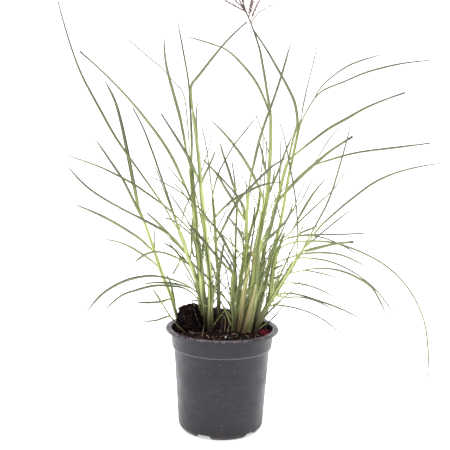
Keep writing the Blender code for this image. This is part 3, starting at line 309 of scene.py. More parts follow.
# Leaves that part from their stem at a narrow angle, by stem: width, turn at foot, turn at tip, depth at tip,
# front points
JOINED_LEAVES = {
    "stem_far_left": [
        (5.4, 60, 35, 70, [(-107, 280), (-112, 292), (-117, 316), (-121, 334), (-129, 373), (-136, 405), (-144, 432),
             (-158, 459)]),
        (3.6, 50, 20, 58, [(-103, 270), (-113, 290), (-124, 312), (-134, 331), (-149, 353), (-160, 369),
             (-172, 385)]),
        (3.2, 70, 70, 46, [(-89.5, 232), (-91.5, 252), (-90.5, 269)]),
        (2.6, 50, 20, 34, [(-62, 156), (-64.5, 172), (-68, 188), (-72, 200), (-78, 208)]),
        (3.4, 25, 20, -12, [(-67, 172), (-73, 172), (-82, 168.5), (-99, 167), (-114, 167)]),
    ],
    "stem_left_outer": [
        (5.2, 62, 30, -60, [(-59, 264), (-64, 278), (-71, 297), (-79, 321), (-88, 346), (-96, 368), (-108, 398),
             (-121, 423)]),
        (2.6, 40, 15, -64, [(-83, 330), (-88, 340), (-93, 349), (-98, 358)]),
    ],
    "stem_left_broad": [
        (4.6, 70, 30, 60, [(-44.6, 345), (-50, 366), (-55, 392), (-60, 414), (-66, 434), (-76, 469), (-80, 492),
             (-81, 516)]),
        (3.9, 70, 40, 6, [(-44.6, 345), (-44.3, 365), (-45, 390), (-47.5, 426), (-50, 457), (-56, 490), (-66, 540)]),
        (3.4, 35, 15, -64, [(-47.3, 422), (-54, 435), (-67, 455), (-83, 473), (-102, 488), (-126, 508)]),
        (3.8, 35, 15, -36, [(-37.6, 262), (-43, 270), (-50, 281), (-58, 293), (-66, 304.5), (-75, 316)]),
        (2.6, 60, 60, 16, [(-33, 240), (-38, 230), (-42, 243), (-42.5, 262), (-41.5, 285)]),
    ],
    "stem_left_tall": [
        (3.2, 70, 40, -34, [(-43, 417), (-45, 432), (-46, 452), (-36, 466), (-22, 484), (-5, 505), (10, 521),
             (24, 534)]),
        (3.2, 70, 60, -8, [(-36.5, 374), (-37, 392), (-38.5, 412), (-37.6, 431)]),
        (3.6, 50, 20, 34, [(-31.5, 322), (-38, 340), (-48, 360), (-59, 378), (-70, 395), (-84, 416)]),
        (2.6, 60, 20, -56, [(-31.5, 324), (-28, 336), (-22, 349.5), (-17, 361), (-13, 371)]),
        (2.6, 30, 20, -34, [(-16.8, 187), (-20.5, 192), (-25, 198), (-31, 208)]),
        (2.8, 30, 10, -38, [(-22, 163), (-28, 167), (-34, 171), (-41.7, 171.5)]),
    ],
    "stem_slim_left": [
        (3.4, 65, 25, 76, [(-16, 309), (-14, 321), (-8, 342), (0, 358.5), (11, 378), (25, 396), (35, 410),
             (45, 420)]),
        (3.0, 30, 10, 4, [(-7, 201), (-13, 215), (-20, 229), (-27, 241), (-35, 256)]),
        (2.4, 60, 20, 40, [(-6, 200), (-3, 206), (1, 212)]),
    ],
    "stem_middle": [
        (5.6, 55, 35, -34, [(13.4, 206), (8, 213), (-4, 225), (-14, 236), (-24, 248), (-36, 261), (-50, 277)]),
        (3.2, 40, 15, 18, [(13.6, 209), (14, 222), (8.3, 237), (2, 248), (-8.5, 265), (-18, 276), (-38, 292)]),
        (2.8, 40, 15, -14, [(13.6, 207), (12.5, 219), (4, 235), (-4, 247), (-10, 257)]),
        (2.6, 40, 15, 40, [(13.4, 204), (11, 214), (4, 226), (-5, 238), (-13, 247)]),
        (3.0, 40, 20, -30, [(12.4, 174), (9, 181), (3.4, 189.5), (-4, 197), (-14, 205)]),
        (2.8, 40, 15, -50, [(13, 167), (5, 173), (-3, 181), (-9, 187), (-20, 201), (-31, 211), (-42, 224),
             (-49, 236)]),
    ],
    "stem_slim_middle": [
        (3.0, 70, 40, 56, [(14.2, 316), (10, 328), (3, 349), (-3.5, 367), (-8.4, 383)]),
        (2.6, 60, 40, 76, [(14.2, 316), (13, 330), (10.7, 345), (8, 359)]),
    ],
    "stem_straight": [
        (4.2, 75, 30, -56, [(31, 318), (32.5, 335), (37, 357), (43, 385), (51, 412), (59, 435), (69, 467),
             (81, 512)]),
        (6.2, 80, 70, -66, [(28, 236), (25, 252), (19, 265), (11.5, 276), (2.7, 286)]),
        (2.2, 60, 40, -20, [(26, 250), (24, 264), (22.5, 275), (21, 286)]),
    ],
    "stem_pale": [
        (2.8, 75, 40, 50, [(46, 320), (46, 335), (47.5, 352), (48.6, 372), (48.5, 391)]),
        (3.8, 80, 60, 20, [(36.5, 272), (37.6, 283), (40, 301)]),
    ],
    "stem_flower": [
        (3.0, 65, 30, 30, [(55.6, 336), (51.5, 350), (48.5, 364), (43.5, 383)]),
        (3.4, 80, 70, -16, [(56, 312), (60, 322), (62.4, 336), (64.3, 349)]),
        (2.6, 60, 20, -30, [(56.5, 318), (61.5, 327), (66.5, 339), (71, 352), (76, 367), (86.2, 393)]),
        (2.8, 50, 20, -36, [(50, 286), (46, 293), (42, 302), (31.5, 321), (22, 337)]),
    ],
    "stem_right_inner": [
        (3.8, 75, 40, -40, [(50, 253), (55, 263), (61, 276), (66, 290), (69, 304)]),
        (3.0, 60, 30, -60, [(47, 235), (52, 247), (60, 258), (70, 268), (83, 284), (90, 306)]),
    ],
    "stem_right_tall": [
        (3.6, 65, 35, 70, [(82, 361), (85, 377), (89, 395), (92, 409), (88, 432), (79, 451), (66, 473), (50, 499),
             (32, 524)]),
        (2.2, 60, 40, 38, [(70.5, 314), (71, 332), (71.6, 355), (70, 394)]),
    ],
    "stem_right_back": [
        (3.2, 65, 40, 62, [(96.8, 413), (99, 431), (104, 459), (109, 481), (115, 511)]),
    ],
    "stem_right_broad": [
        (5.0, 80, 65, -30, [(69, 234), (73, 247), (76, 257), (80, 266)]),
        (2.8, 40, 30, -40, [(65.5, 212), (69.3, 217), (74, 219.4), (79, 221.5)]),
        (2.8, 40, 30, -26, [(65, 200), (68, 203), (73.4, 206), (79, 209.5)]),
        (2.6, 50, 30, 24, [(64, 203), (66.5, 195), (69.7, 188.7), (71, 184)]),
    ],
    "stem_right_leaning": [
        (4.0, 60, 25, -70, [(103.5, 240), (110, 255.6), (117, 269), (125, 285), (134, 304), (141, 325), (149, 356),
             (156, 385), (162, 415)]),
        (2.8, 60, 40, -4, [(66, 177), (71, 190), (76.4, 201), (84, 213.5), (93, 231)]),
        (2.2, 60, 40, -6, [(80, 201), (83, 212), (85, 226), (87, 244)]),
    ],
    "shoot_left_rim": [
        (2.4, 50, 30, 10, [(-79, 164), (-84.4, 173), (-93.9, 186.4)]),
        (2.4, 25, 15, -40, [(-66, 145), (-72, 149), (-80, 146), (-91, 142.5), (-108, 141.6)]),
    ],
    "shoot_right_rim": [
        (2.4, 40, 20, 60, [(73, 157), (78.5, 164), (84, 171), (88.5, 177.5)]),
    ],
}

# Leaves that spread wide of their stem, each a piece of its own with its foot just clear
# of the stem: name, stem, width, turn at foot, turn at tip, depth at tip, front points
WIDE_LEAVES = [
    ("leaf_left_high", "stem_left_outer", 5.0, 48, 25, -92, [(-60, 264), (-69, 278), (-78, 294), (-91, 312),
         (-110, 338), (-141, 381), (-163, 419), (-190, 470), (-210, 530), (-222, 580)]),
    ("leaf_left_crossing", "stem_left_broad", 4.0, 40, 25, 84, [(-40.5, 300), (-47, 312), (-55.5, 331), (-70, 361),
         (-90, 391), (-125, 433), (-160, 468), (-189, 493)]),
    ("leaf_flower_arch", "stem_flower", 3.4, 35, 15, 88, [(56.6, 416), (53, 424), (47, 440), (36, 460), (20, 479),
         (0, 497), (-20, 505), (-56, 515)]),
    ("leaf_right_top", "stem_right_back", 3.6, 35, 15, 96, [(95, 401), (104, 424), (120, 447), (150, 461),
         (180, 474), (221, 485), (271, 492)]),
    ("leaf_right_high", "stem_right_tall", 4.4, 38, 20, -64, [(81, 358), (88, 365), (106, 380), (131, 400),
         (156, 415), (180, 429), (205, 440), (229, 449)]),
    ("leaf_right_broad", "stem_right_tall", 5.0, 62, 45, -46, [(68.5, 304), (74, 311), (87, 327), (103, 343.5),
         (116, 355), (134, 371), (150, 382.5), (164, 392)]),
    ("leaf_right_long", "stem_right_leaning", 4.0, 40, 15, -138, [(104, 241), (113, 255), (125, 272), (144, 291),
         (164, 309), (198, 335), (238, 351), (291, 362)]),
    ("leaf_left_low_arch", "stem_left_broad", 3.8, 30, 12, -70, [(-36.5, 256), (-47, 268), (-62, 282), (-78, 296),
         (-101, 312), (-119, 324), (-141, 335.5), (-169, 348), (-215, 363)]),
    ("leaf_left_sweeping", "stem_left_outer", 3.8, 28, 12, 30, [(-47.5, 231), (-57, 244), (-71, 258), (-89, 269),
         (-111, 280), (-141, 295), (-170, 312), (-190, 329), (-209, 351)]),
    ("leaf_far_left_side", "stem_far_left", 4.2, 45, 30, 96, [(-91, 235), (-99, 242), (-110, 252), (-130, 265),
         (-150, 276.5), (-170, 286), (-200, 298)]),
    ("leaf_far_left_pale", "stem_far_left", 2.8, 30, 10, 118, [(-84, 213), (-94, 223), (-110, 234), (-124, 242),
         (-140, 248), (-161, 252)]),
    ("leaf_long_slant", "stem_straight", 3.2, 35, 15, -84, [(24, 232), (14.5, 244), (5, 253.5), (-11, 268),
         (-25, 285), (-38, 298.5), (-57, 314), (-80, 327), (-107, 338)]),
    ("leaf_left_curling", "stem_left_outer", 3.2, 45, 25, 48, [(-60.5, 264), (-56, 278), (-50, 298), (-40, 320),
         (-30.7, 345), (-22, 373), (-15, 410)]),
    ("leaf_slim_upright", "stem_slim_left", 3.0, 55, 25, -32, [(-16, 311), (-19, 330), (-21.5, 350), (-25, 372),
         (-29, 390), (-34, 409)]),
    ("leaf_pair_slant", "stem_straight", 3.4, 45, 25, 66, [(28.6, 276), (20, 291), (11, 306), (1.4, 320), (-13, 342),
         (-33, 362)]),
    ("leaf_centre_crossing", "stem_flower", 4.0, 40, 25, 92, [(53, 302), (47, 317), (40, 332), (29, 352), (16, 371),
         (-1, 391), (-21, 410.6)]),
    ("leaf_centre_low", "stem_slim_left", 3.4, 35, 20, -52, [(-14, 281), (-2, 294.6), (11.5, 307), (27, 316),
         (42, 324), (58, 329), (75, 331)]),
    ("leaf_centre_rising", "stem_slim_left", 3.2, 35, 20, -92, [(-10, 250), (-3, 266), (8, 289), (20, 308),
         (34, 324), (48, 339), (63, 353), (83, 365)]),
    ("leaf_centre_back", "stem_left_tall", 3.0, 55, 30, 84, [(-22, 245), (-14, 256), (-5, 277), (6, 300), (12, 313),
         (20, 331), (30, 352)]),
    ("leaf_right_upright", "stem_right_leaning", 3.8, 65, 40, -56, [(96, 229), (97, 250), (96.5, 270), (93.5, 300),
         (90, 322), (82, 359), (75, 390), (66, 415), (58, 429)]),
    ("leaf_right_inner", "stem_right_inner", 3.6, 45, 25, 62, [(51, 255), (62, 262), (75, 274), (90, 296), (99, 321),
         (106, 336), (112, 348)]),
    ("leaf_right_forked", "stem_right_back", 4.0, 45, 25, 78, [(68, 250), (76, 256), (87, 265), (93, 273),
         (105, 286), (120, 301), (140, 321), (148, 333), (160, 353)]),
    ("leaf_right_level", "stem_right_broad", 4.2, 30, 18, 70, [(72, 245), (76, 251), (84, 257), (107, 261.6),
         (137, 263), (160, 264), (184, 266)]),
    ("leaf_right_drooping", "stem_right_broad", 3.8, 28, 14, -96, [(72, 241), (84, 249.5), (105, 253.6),
         (140, 252.7), (180, 241), (220, 219), (250, 187), (269, 148), (277, 100), (277, 52)]),
    ("leaf_right_stub", "stem_right_leaning", 5.2, 55, 50, -96, [(103, 238), (112, 241.7), (124, 245), (142, 249.6),
         (158, 252.6), (171, 254)]),
    ("leaf_right_low_a", "stem_right_broad", 4.2, 34, 15, 104, [(65.3, 219), (74, 226), (87, 231.5), (106, 236.7),
         (133, 238.6), (159, 235), (192, 220)]),
    ("leaf_right_low_b", "stem_right_leaning", 3.4, 28, 12, -152, [(94, 227), (101, 231), (121, 230.5), (142, 226.7),
         (162, 219), (184, 206), (207, 186), (235, 150)]),
    ("leaf_right_low_c", "stem_right_leaning", 3.6, 28, 12, 48, [(86, 209), (97, 212.7), (115, 216.6), (134, 217.8),
         (156, 214.6), (178, 206), (200, 190), (220, 154)]),
    ("leaf_right_low_d", "stem_right_leaning", 3.0, 25, 10, 118, [(76.5, 193), (84, 197), (99, 197), (119, 192.6),
         (136, 186), (149, 179)]),
    ("leaf_right_low_e", "stem_right_leaning", 4.4, 35, 15, -128, [(67, 176), (75, 182), (89, 183.4), (109, 180),
         (129, 173.6), (156, 164), (188, 150)]),
    ("leaf_right_low_f", "stem_right_broad", 3.2, 28, 12, -60, [(60, 164), (67, 167), (80, 166.4), (100, 163),
         (123, 155), (146, 140.5), (164, 127)]),
    ("leaf_left_nodding", "stem_left_outer", 3.8, 28, 12, -116, [(-42.5, 216), (-50, 222), (-64, 229), (-78, 234),
         (-91, 235.3), (-104, 231.5), (-120, 220)]),
    ("leaf_left_bowed", "stem_left_outer", 4.2, 28, 12, -118, [(-31.5, 178), (-41, 187), (-54, 194), (-73, 200),
         (-95, 203), (-121, 199), (-144, 189), (-164, 174), (-184, 149)]),
    ("leaf_left_dark", "stem_left_tall", 4.4, 45, 25, -82, [(-19.5, 216), (-25.5, 229), (-32, 243), (-43, 259),
         (-57, 270.5), (-70, 278.6), (-84, 282)]),
    ("leaf_left_bowed_low", "stem_left_outer", 3.4, 28, 12, -70, [(-30, 167), (-37, 177.5), (-51, 187), (-69, 190),
         (-92, 190), (-114, 184), (-136, 175), (-161, 152)]),
    ("leaf_left_thin_slant", "stem_left_broad", 2.8, 30, 12, -24, [(-40, 296), (-46, 311), (-52, 321.5), (-61, 332),
         (-72, 345), (-81, 355)]),
]

# Blades springing from a wide leaf and staying close to it: leaf, width, turn at foot,
# turn at tip, depth at tip, front points
LEAF_FORKS = [
    ("leaf_right_top", 2.8, 30, 10, 64, [(111, 440), (119, 451), (131, 464), (158, 483), (201, 498)]),
    ("leaf_right_broad", 3.4, 35, 20, -120, [(110, 349.5), (117, 354.6), (142, 363), (171, 371), (209, 377),
         (264, 385)]),
    ("leaf_right_broad", 2.8, 50, 30, 36, [(112, 351), (117, 359), (127, 377), (139, 395), (152, 410)]),
    ("leaf_right_long", 2.4, 30, 10, -40, [(106, 244), (114, 252), (129, 265.5), (148, 282), (168, 299)]),
    ("leaf_left_sweeping", 3.4, 35, 15, 64, [(-60, 247), (-71, 258), (-81, 268), (-93, 280), (-104, 289)]),
    ("leaf_pair_slant", 2.8, 40, 20, 34, [(26, 281), (25, 297), (12, 316), (4.5, 324.5), (-7, 337), (-17, 348)]),
    ("leaf_right_upright", 2.4, 30, 15, -80, [(97, 258), (100.5, 264), (109, 268.4), (124, 275)]),
    ("leaf_right_inner", 2.6, 50, 25, 44, [(86, 289), (95, 300), (102, 311), (110, 328), (121, 352)]),
    ("leaf_right_forked", 3.2, 40, 20, 20, [(92, 272), (98, 285), (109, 306), (120, 323), (133, 339)]),
    ("leaf_right_level", 2.6, 30, 12, -40, [(90, 259), (107, 261.4), (121, 260.5), (135, 257.5), (158, 248),
         (179, 236)]),
    ("leaf_right_low_c", 2.4, 25, 10, -70, [(98, 213), (109, 214.6), (128, 211.4), (145, 207.5), (158, 202.5)]),
    ("leaf_right_low_e", 3.0, 28, 12, -58, [(72, 180), (87, 178), (107, 178), (133, 170), (157, 155)]),
    ("leaf_left_nodding", 2.8, 28, 12, -12, [(-47, 220), (-51, 224), (-59, 231.6), (-66, 240), (-77, 246.7),
         (-83, 249)]),
    ("leaf_left_nodding", 2.4, 60, 60, -60, [(-56, 225.5), (-60, 219.5), (-68, 204)]),
    ("leaf_left_bowed", 3.2, 28, 14, -44, [(-40, 186.5), (-54, 191), (-73, 194), (-92, 194), (-108, 191.5)]),
]

# Flower head: depth at tip and front points of its axis and of each plume
PLUMES = [
    (13, [(41.8, 496.4), (38, 508), (32, 524), (26, 538), (20, 552), (15, 566)]),
    (-20, [(26, 538), (22, 546), (8, 553), (-8, 562), (-22, 574)]),
    (40, [(24, 541), (18, 551), (8, 560), (-4, 572), (-14, 588)]),
    (-6, [(22, 546), (16, 556), (8, 572), (2, 594)]),
    (30, [(21, 549), (17, 562), (13, 580), (12, 604)]),
    (-26, [(18, 557), (19, 572), (22, 590), (22, 612)]),
    (22, [(26, 538), (28, 551), (31, 568), (34, 590)]),
    (-34, [(28, 534), (33, 548), (40, 562), (50, 576)]),
    (46, [(29, 531), (36, 543), (46, 551), (58, 556)]),
]


def add_object(name, data):
    """A new object in the scene."""
    made = bpy.data.objects.new(name, data)
    bpy.context.scene.collection.objects.link(made)
    return made


def ramp(value, start, end):
    """How far a value has come from start to end, from 0 to 1."""
    return np.clip((value - start) / (end - start), 0.0, 1.0)


def clamp(value):
    """A number held between 0 and 1."""
    return min(1.0, max(0.0, value))


def spin(count):
    """Evenly spaced turns round a circle."""
    return 2.0 * math.pi * np.arange(count) / count


def seen_point(x, z, depth):
    """The point at a depth that lies on the line of sight through a front point."""
    reach = 1.0 - depth / EYE[1]
    return np.array([EYE[0] + (x - EYE[0]) * reach, depth, EYE[2] + (z - EYE[2]) * reach])


def smooth_line(points, count):
    """Evenly spaced points on a smooth curve through the given ones, foot to tip."""
    knots = np.array(points, dtype=float)
    ends = np.vstack([2 * knots[0] - knots[1], knots, 2 * knots[-1] - knots[-2]])
    dense = []
    for i in range(1, len(ends) - 2):
        a, b, c, d = ends[i - 1:i + 3]
        for t in np.linspace(0.0, 1.0, 16, endpoint=False):
            dense.append(0.5 * (2 * b + (c - a) * t + (2 * a - 5 * b + 4 * c - d) * t * t
                                + (3 * b - a - 3 * c + d) * t ** 3))
    dense.append(knots[-1])
    return resampled(np.array(dense), count)


def resampled(points, count):
    """Evenly spaced points along a line of straight steps."""
    steps = np.linalg.norm(np.diff(points, axis=0), axis=1)
    along = np.concatenate([[0.0], np.cumsum(steps)])
    return between(np.linspace(0.0, along[-1], count), along, points)


def between(wanted, given, points):
    """Points at the wanted places of a line whose points are given at others."""
    return np.column_stack([np.interp(wanted, given, points[:, k]) for k in range(points.shape[1])])


def depth_curve(share, foot, tip, bulges):
    """Depth along a blade: it leans away slowly at first, and bulges round its neighbours."""
    depth = foot + (tip - foot) * share ** 1.35
    for centre, size, spread in bulges:
        depth = depth + size * ramp(share, 0.0, 0.12) * np.exp(-((share - centre) / spread) ** 2)
    return depth


def line_in_space(front, foot, tip, bulges):
    """A blade's front points set at their depths along the lines of sight."""
    depth = depth_curve(np.linspace(0.0, 1.0, len(front)), foot, tip, bulges)
    reach = 1.0 - depth / EYE[1]
    return np.column_stack([EYE[0] + (front[:, 0] - EYE[0]) * reach, depth, EYE[2] + (front[:, 1] - EYE[2]) * reach])


def front_points(places):
    """Where points in space are seen on the plane of the front points."""
    reach = 1.0 - places[:, 1] / EYE[1]
    return np.column_stack([EYE[0] + (places[:, 0] - EYE[0]) / reach, EYE[2] + (places[:, 2] - EYE[2]) / reach])


def leaf_width(share):
    """Width of a leaf along it as a share of its full width."""
    return (0.55 + 0.45 * ramp(share, 0.0, 0.22)) * (1.0 - 0.84 * ramp(share, 0.35, 1.0) ** 1.6)


def stem_radius(stem, share):
    """A stem is stout in the sheaths at its foot and slims towards its head."""
    foot, head = stem.widths
    return head + (foot - head) * (1.0 - share) ** 2


class Blade:
    """A stem, leaf or plume: its line in space and how thick it is along it."""

    def __init__(self, piece, kind, front, foot_depth, tip_depth, widths, turns):
        self.piece = piece
        self.kind = kind
        self.front = smooth_line(front, SAMPLES)
        self.foot_depth = foot_depth
        self.tip_depth = tip_depth
        self.widths = widths
        self.turns = turns
        self.bulges = []
        self.stem = None
        self.parent = None
        self.seat = 0.0
        self.share = np.linspace(0.0, 1.0, SAMPLES)

    def reach(self):
        """Half width at every sample."""
        if self.kind == "stem":
            return stem_radius(self, self.share)
        if self.kind == "plume":
            return PLUME_RADIUS * (1.0 - 0.6 * self.share)
        return 0.5 * self.widths[0] * leaf_width(self.share)

    def line(self):
        return line_in_space(self.front, self.foot_depth, self.tip_depth, self.bulges)

    def corners(self):
        """The corner points of the faceted body's line, with their shares."""
        points, shares = thin_out(self.line(), STEM_STEP if self.kind == "stem" else LEAF_STEP)
        if self.stem is not None:
            points = stand_clear(points, shares, self)
        return points, shares

    def faceted_line(self, count=SAMPLES):
        """The line of the faceted body at evenly spaced shares."""
        points, shares = self.corners()
        return between(np.linspace(0.0, 1.0, count), shares, points)


def stand_clear(points, shares, leaf):
    """The corners of a wide leaf with its foot pushed out until it is clear of its stem."""
    axis = leaf.stem.faceted_line(AXIS_SAMPLES)
    axis_shares = np.linspace(0.0, 1.0, AXIS_SAMPLES)
    room = np.interp(axis_shares, leaf.share, leaf.stem.reach())
    need = room[None, :] + leaf.reach()[:, None] + FOOT_GAP
    moved = points.copy()
    away = points[1] - axis[int(np.argmin(np.linalg.norm(axis - points[1], axis=1)))]
    away /= np.linalg.norm(away)
    for _ in range(FOOT_ROUNDS):
        line = between(leaf.share, shares, moved)
        short = need - np.linalg.norm(line[:, None, :] - axis[None, :, :], axis=2)
        most = short.max()
        if most <= 0.0:
            break
        sample = np.unravel_index(int(np.argmax(short)), short.shape)[0]
        moved[0] += away * most
        if leaf.share[sample] > 0.4 * shares[1]:
            moved[1] += away * most
    return moved


def near_pairs(blade, others):
    """Samples of a blade, and those of its neighbours that the front view shows near enough to touch."""
    if not others:
        return np.zeros(0, dtype=int), np.zeros((0, 3)), np.zeros(0)
    fronts, places, rooms = (np.concatenate(part) for part in zip(*others))
    need = blade.reach()[:, None] + rooms[None, :] + CLEARANCE
    apart = np.linalg.norm(blade.front[:, None, :] - fronts[None, :, :], axis=2)
    mine, theirs = np.nonzero(apart < need / NEAREST_VIEW)
    return mine, places[theirs], need[mine, theirs]


def crowding(line, pairs):
    """How far each sample stands inside the room its neighbours need."""
    mine, places, need = pairs
    short = np.zeros(len(line))
    np.maximum.at(short, mine, need - np.linalg.norm(line[mine] - places, axis=1))
    return short


def make_room(blade, others):
    """Bulge a blade towards or away from the front until it clears its neighbours."""
    pairs = near_pairs(blade, others)
    for _ in range(ROOM_ROUNDS):
        short = crowding(blade.line(), pairs)
        if short.max() <= 0.0:
            return
        centre = float(blade.share[int(np.argmax(short))])
        kept = list(blade.bulges)
        best = (float(short.sum()), kept)
        for size in ROOM_STEPS:
            for spread in (0.1, 0.2):
                blade.bulges = kept + [(centre, size, spread)]
                total = float(crowding(blade.line(), pairs).sum())
                if total < best[0] - 1e-6:
                    best = (total, list(blade.bulges))
            if best[0] <= 0.0:
                break
        blade.bulges = best[1]


def grow(rows, parents, blades):
    """Leaves that belong to the piece they spring from."""
    for name, width, turn_foot, turn_tip, depth_tip, front in rows:
        settle(sprouting(name, parents[name], front, depth_tip, width, (turn_foot, turn_tip)), blades, name)


def plan_blades():
    """Every stem, leaf and plume with its line, in the order they are given room."""
    blades = []
    parents = {}
    for name, foot, head, depth_foot, depth_head, front in STEMS:
        stem = Blade(name, "stem", front, depth_foot, depth_head, (foot, head), (0, 0))
        make_room(stem, [(other.front, other.line(), other.reach()) for other in blades])
        parents[name] = stem
        blades.append(stem)
    grow([(name, *leaf) for name, leaves in JOINED_LEAVES.items() for leaf in leaves], parents, blades)
    for name, stem_name, width, turn_foot, turn_tip, depth_tip, front in WIDE_LEAVES:
        leaf = sprouting(name, parents[stem_name], front, depth_tip, width, (turn_foot, turn_tip))
        leaf.stem = parents[stem_name]
        settle(leaf, blades, name, leaf.stem)
        parents[name] = leaf
    grow(LEAF_FORKS, parents, blades)
    stalk = parents["stem_flower"]
    axis = None
    for depth_tip, front in PLUMES:
        if axis is None:
            plume = axis = Blade("flower_head", "plume", front, stalk.tip_depth, depth_tip, (1, 1), (0, 0))
        else:
            plume = sprouting("flower_head", axis, front, depth_tip, 1.0, (0, 0))
            plume.kind = "plume"
        settle(plume, blades, "flower_head", stalk)
    return blades


def sprouting(piece, parent, front, depth_tip, width, turns):
    """A leaf whose foot is set on the line of the stem or leaf it springs from."""
    places = parent.faceted_line()
    seats = front_points(places)
    best = int(np.argmin(np.hypot(seats[:, 0] - front[0][0], seats[:, 1] - front[0][1])))
    path = [tuple(seats[best])] + list(front[1:])
    leaf = Blade(piece, "leaf", path, float(places[best][1]), depth_tip, (width, width), turns)
    leaf.parent = parent
    leaf.seat = best / (SAMPLES - 1)
    return leaf


def settle(blade, blades, piece, stem=None):
    """Find room for a blade among all earlier ones outside its own piece."""
    others = []
    for other in blades:
        if other.piece == piece:
            continue
        front, line, reach = other.front, other.line(), other.reach()
        if other is stem:
            far = np.linalg.norm(line - blade.line()[0], axis=1) > FOOT_ZONE
            front, line, reach = front[far], line[far], reach[far]
        if len(line):
            others.append((front, line, reach))
    make_room(blade, others)
    blades.append(blade)


def thin_out(line, step):
    """Every so many samples of a line, always keeping both ends, with their shares."""
    length = float(np.linalg.norm(np.diff(line, axis=0), axis=1).sum())
    count = int(np.clip(round(length / step), 3, 12))
    picks = np.unique(np.round(np.linspace(0, len(line) - 1, count + 1)).astype(int))
    return line[picks], picks / (len(line) - 1)


def frames(points):
    """Sideways and face directions at every point of a line."""
    tangents = np.gradient(points, axis=0)
    tangents /= np.linalg.norm(tangents, axis=1)[:, None]
    chord = points[-1] - points[0]
    level = np.cross(chord, [0.0, 0.0, 1.0])
    if np.linalg.norm(level) < 0.02 * np.linalg.norm(chord):
        level = np.array([0.0, 1.0, 0.0])
    sides = level[None, :] - tangents * (tangents @ level)[:, None]
    sides /= np.linalg.norm(sides, axis=1)[:, None]
    return tangents, sides, np.cross(sides, tangents)


class Shape:
    """Points and faces of one piece, with the values its material reads at every point."""

    VALUES = ("along", "side", "tint", "dry", "cut")

    def __init__(self):
        self.points = []
        self.faces = []
        self.values = {name: [] for name in self.VALUES}
        self.count = 0

    def add(self, points, faces, **values):
        """Add a part in millimetres. A value left out is zero."""
        points = np.asarray(points, dtype=float).reshape(-1, 3)
        self.points.append(points)
        self.faces.extend([[corner + self.count for corner in face] for face in faces])
        for name in self.VALUES:
            given = np.broadcast_to(np.asarray(values.get(name, 0.0), dtype=float), (len(points),))
            self.values[name].append(given)
        self.count += len(points)

    def add_loft(self, rings, **values):
        """Add a body lofted through rings of equal point count, closed at both ends."""
        count, around = rings.shape[:2]
        index = np.arange(count * around).reshape(count, around)
        turned = np.roll(index, -1, axis=1)
        quads = np.stack([index[:-1], turned[:-1], turned[1:], index[1:]], axis=-1).reshape(-1, 4)
        faces = quads.tolist() + [index[0][::-1].tolist(), index[-1].tolist()]
        self.add(rings, faces, **values)

    def add_tube(self, line, radii, around, along, tint):
        """Add a round body along a line, and give the line's frames."""
        tangents, sides, faces = frames(line)
        rings = tube(line, radii, radii, sides, faces, spin(around))
        self.add_loft(rings, along=np.repeat(along, around), tint=tint)
        return tangents, sides, faces

    def mesh(self, name):
        """The mesh in metres, without its values."""
        data = bpy.data.meshes.new(name)
        data.from_pydata((np.vstack(self.points) * MM).tolist(), [], self.faces)
        return data

    def build(self, name, material, slot, nodes=()):
        """Make the object, and have it ride and stand for its solids."""
        data = self.mesh(name)
        for key in self.VALUES:
            layer = data.attributes.new(key, "FLOAT", "POINT")
            layer.data.foreach_set("value", np.concatenate(self.values[key]).astype(np.float32))
        mesh = bmesh.new()
        mesh.from_mesh(data)
        bmesh.ops.recalc_face_normals(mesh, faces=mesh.faces[:])
        for face in mesh.faces:
            face.smooth = len(face.verts) <= 4
        mesh.to_mesh(data)
        mesh.free()
        data.materials.append(material)
        piece = add_object(name, data)
        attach(piece, "root")
        if nodes:
            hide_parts(*nodes)
        return piece


def tube(line, wide, deep, across, up, turn, swell=1.0):
    """Rings of an oval tube round a line."""
    return (line[:, None, :] + (wide[:, None] * (np.cos(turn) * swell))[..., None] * across[:, None, :]
            + (deep[:, None] * (np.sin(turn) * swell))[..., None] * up[:, None, :])


def own_number(*parts):
    """A number from 0 to 1 that is always the same for the same place."""
    mixed = sum(part * weight for part, weight in zip(parts, (12.9898, 78.233, 37.719)))
    return (math.sin(mixed) * 43758.5453) % 1.0


def add_blade(shape, line, widths, turns, tint, close, along, **values):
    """A thin grass blade: a shallow gutter with a rib under its middle, a little twisted."""
    _, sides, faces = frames(line)
    share = np.linspace(0.0, 1.0, len(line))
    half = 0.5 * widths * (1.0 - close * ramp(share, 0.86, 1.0) ** 1.5)
    wave = LEAF_WAVE_DEG * np.sin(2 * math.pi * (1.4 * share + tint))
    turn = np.radians(turns[0] + (turns[1] - turns[0]) * share + wave)
    wide = np.cos(turn)[:, None] * sides + np.sin(turn)[:, None] * faces
    up = np.cos(turn)[:, None] * faces - np.sin(turn)[:, None] * sides
    thick = LEAF_THICK * (1.0 - 0.5 * share)
    rings = np.zeros((len(line), len(LEAF_ACROSS), 3))
    for k, u in enumerate(LEAF_ACROSS):
        height = half * 0.5 * abs(u) ** 1.2
        if k >= LEAF_TOP:
            height = height - thick * (1.6 if u == 0.0 else 1.0)
        rings[:, k] = line + wide * (half * u)[:, None] + up * (height - half * 0.16)[:, None]
    shape.add_loft(rings, along=np.repeat(along, len(LEAF_ACROSS)), side=np.tile(LEAF_ACROSS, len(line)), tint=tint,
                   **values)


def blade_width(share):
    """Width of the fine blade along it: fuller at its foot and less drawn out at its tip than its solid."""
    return (0.7 + 0.3 * ramp(share, 0.0, 0.22)) * (1.0 - 0.5 * ramp(share, 0.35, 1.0) ** 1.8)


def is_cut(blade):
    """Whether a leaf ends in a blunt cut."""
    tip = blade.front[-1]
    return any(math.hypot(tip[0] - x, tip[1] - z) < CUT_REACH for x, z in CUT_ENDS)


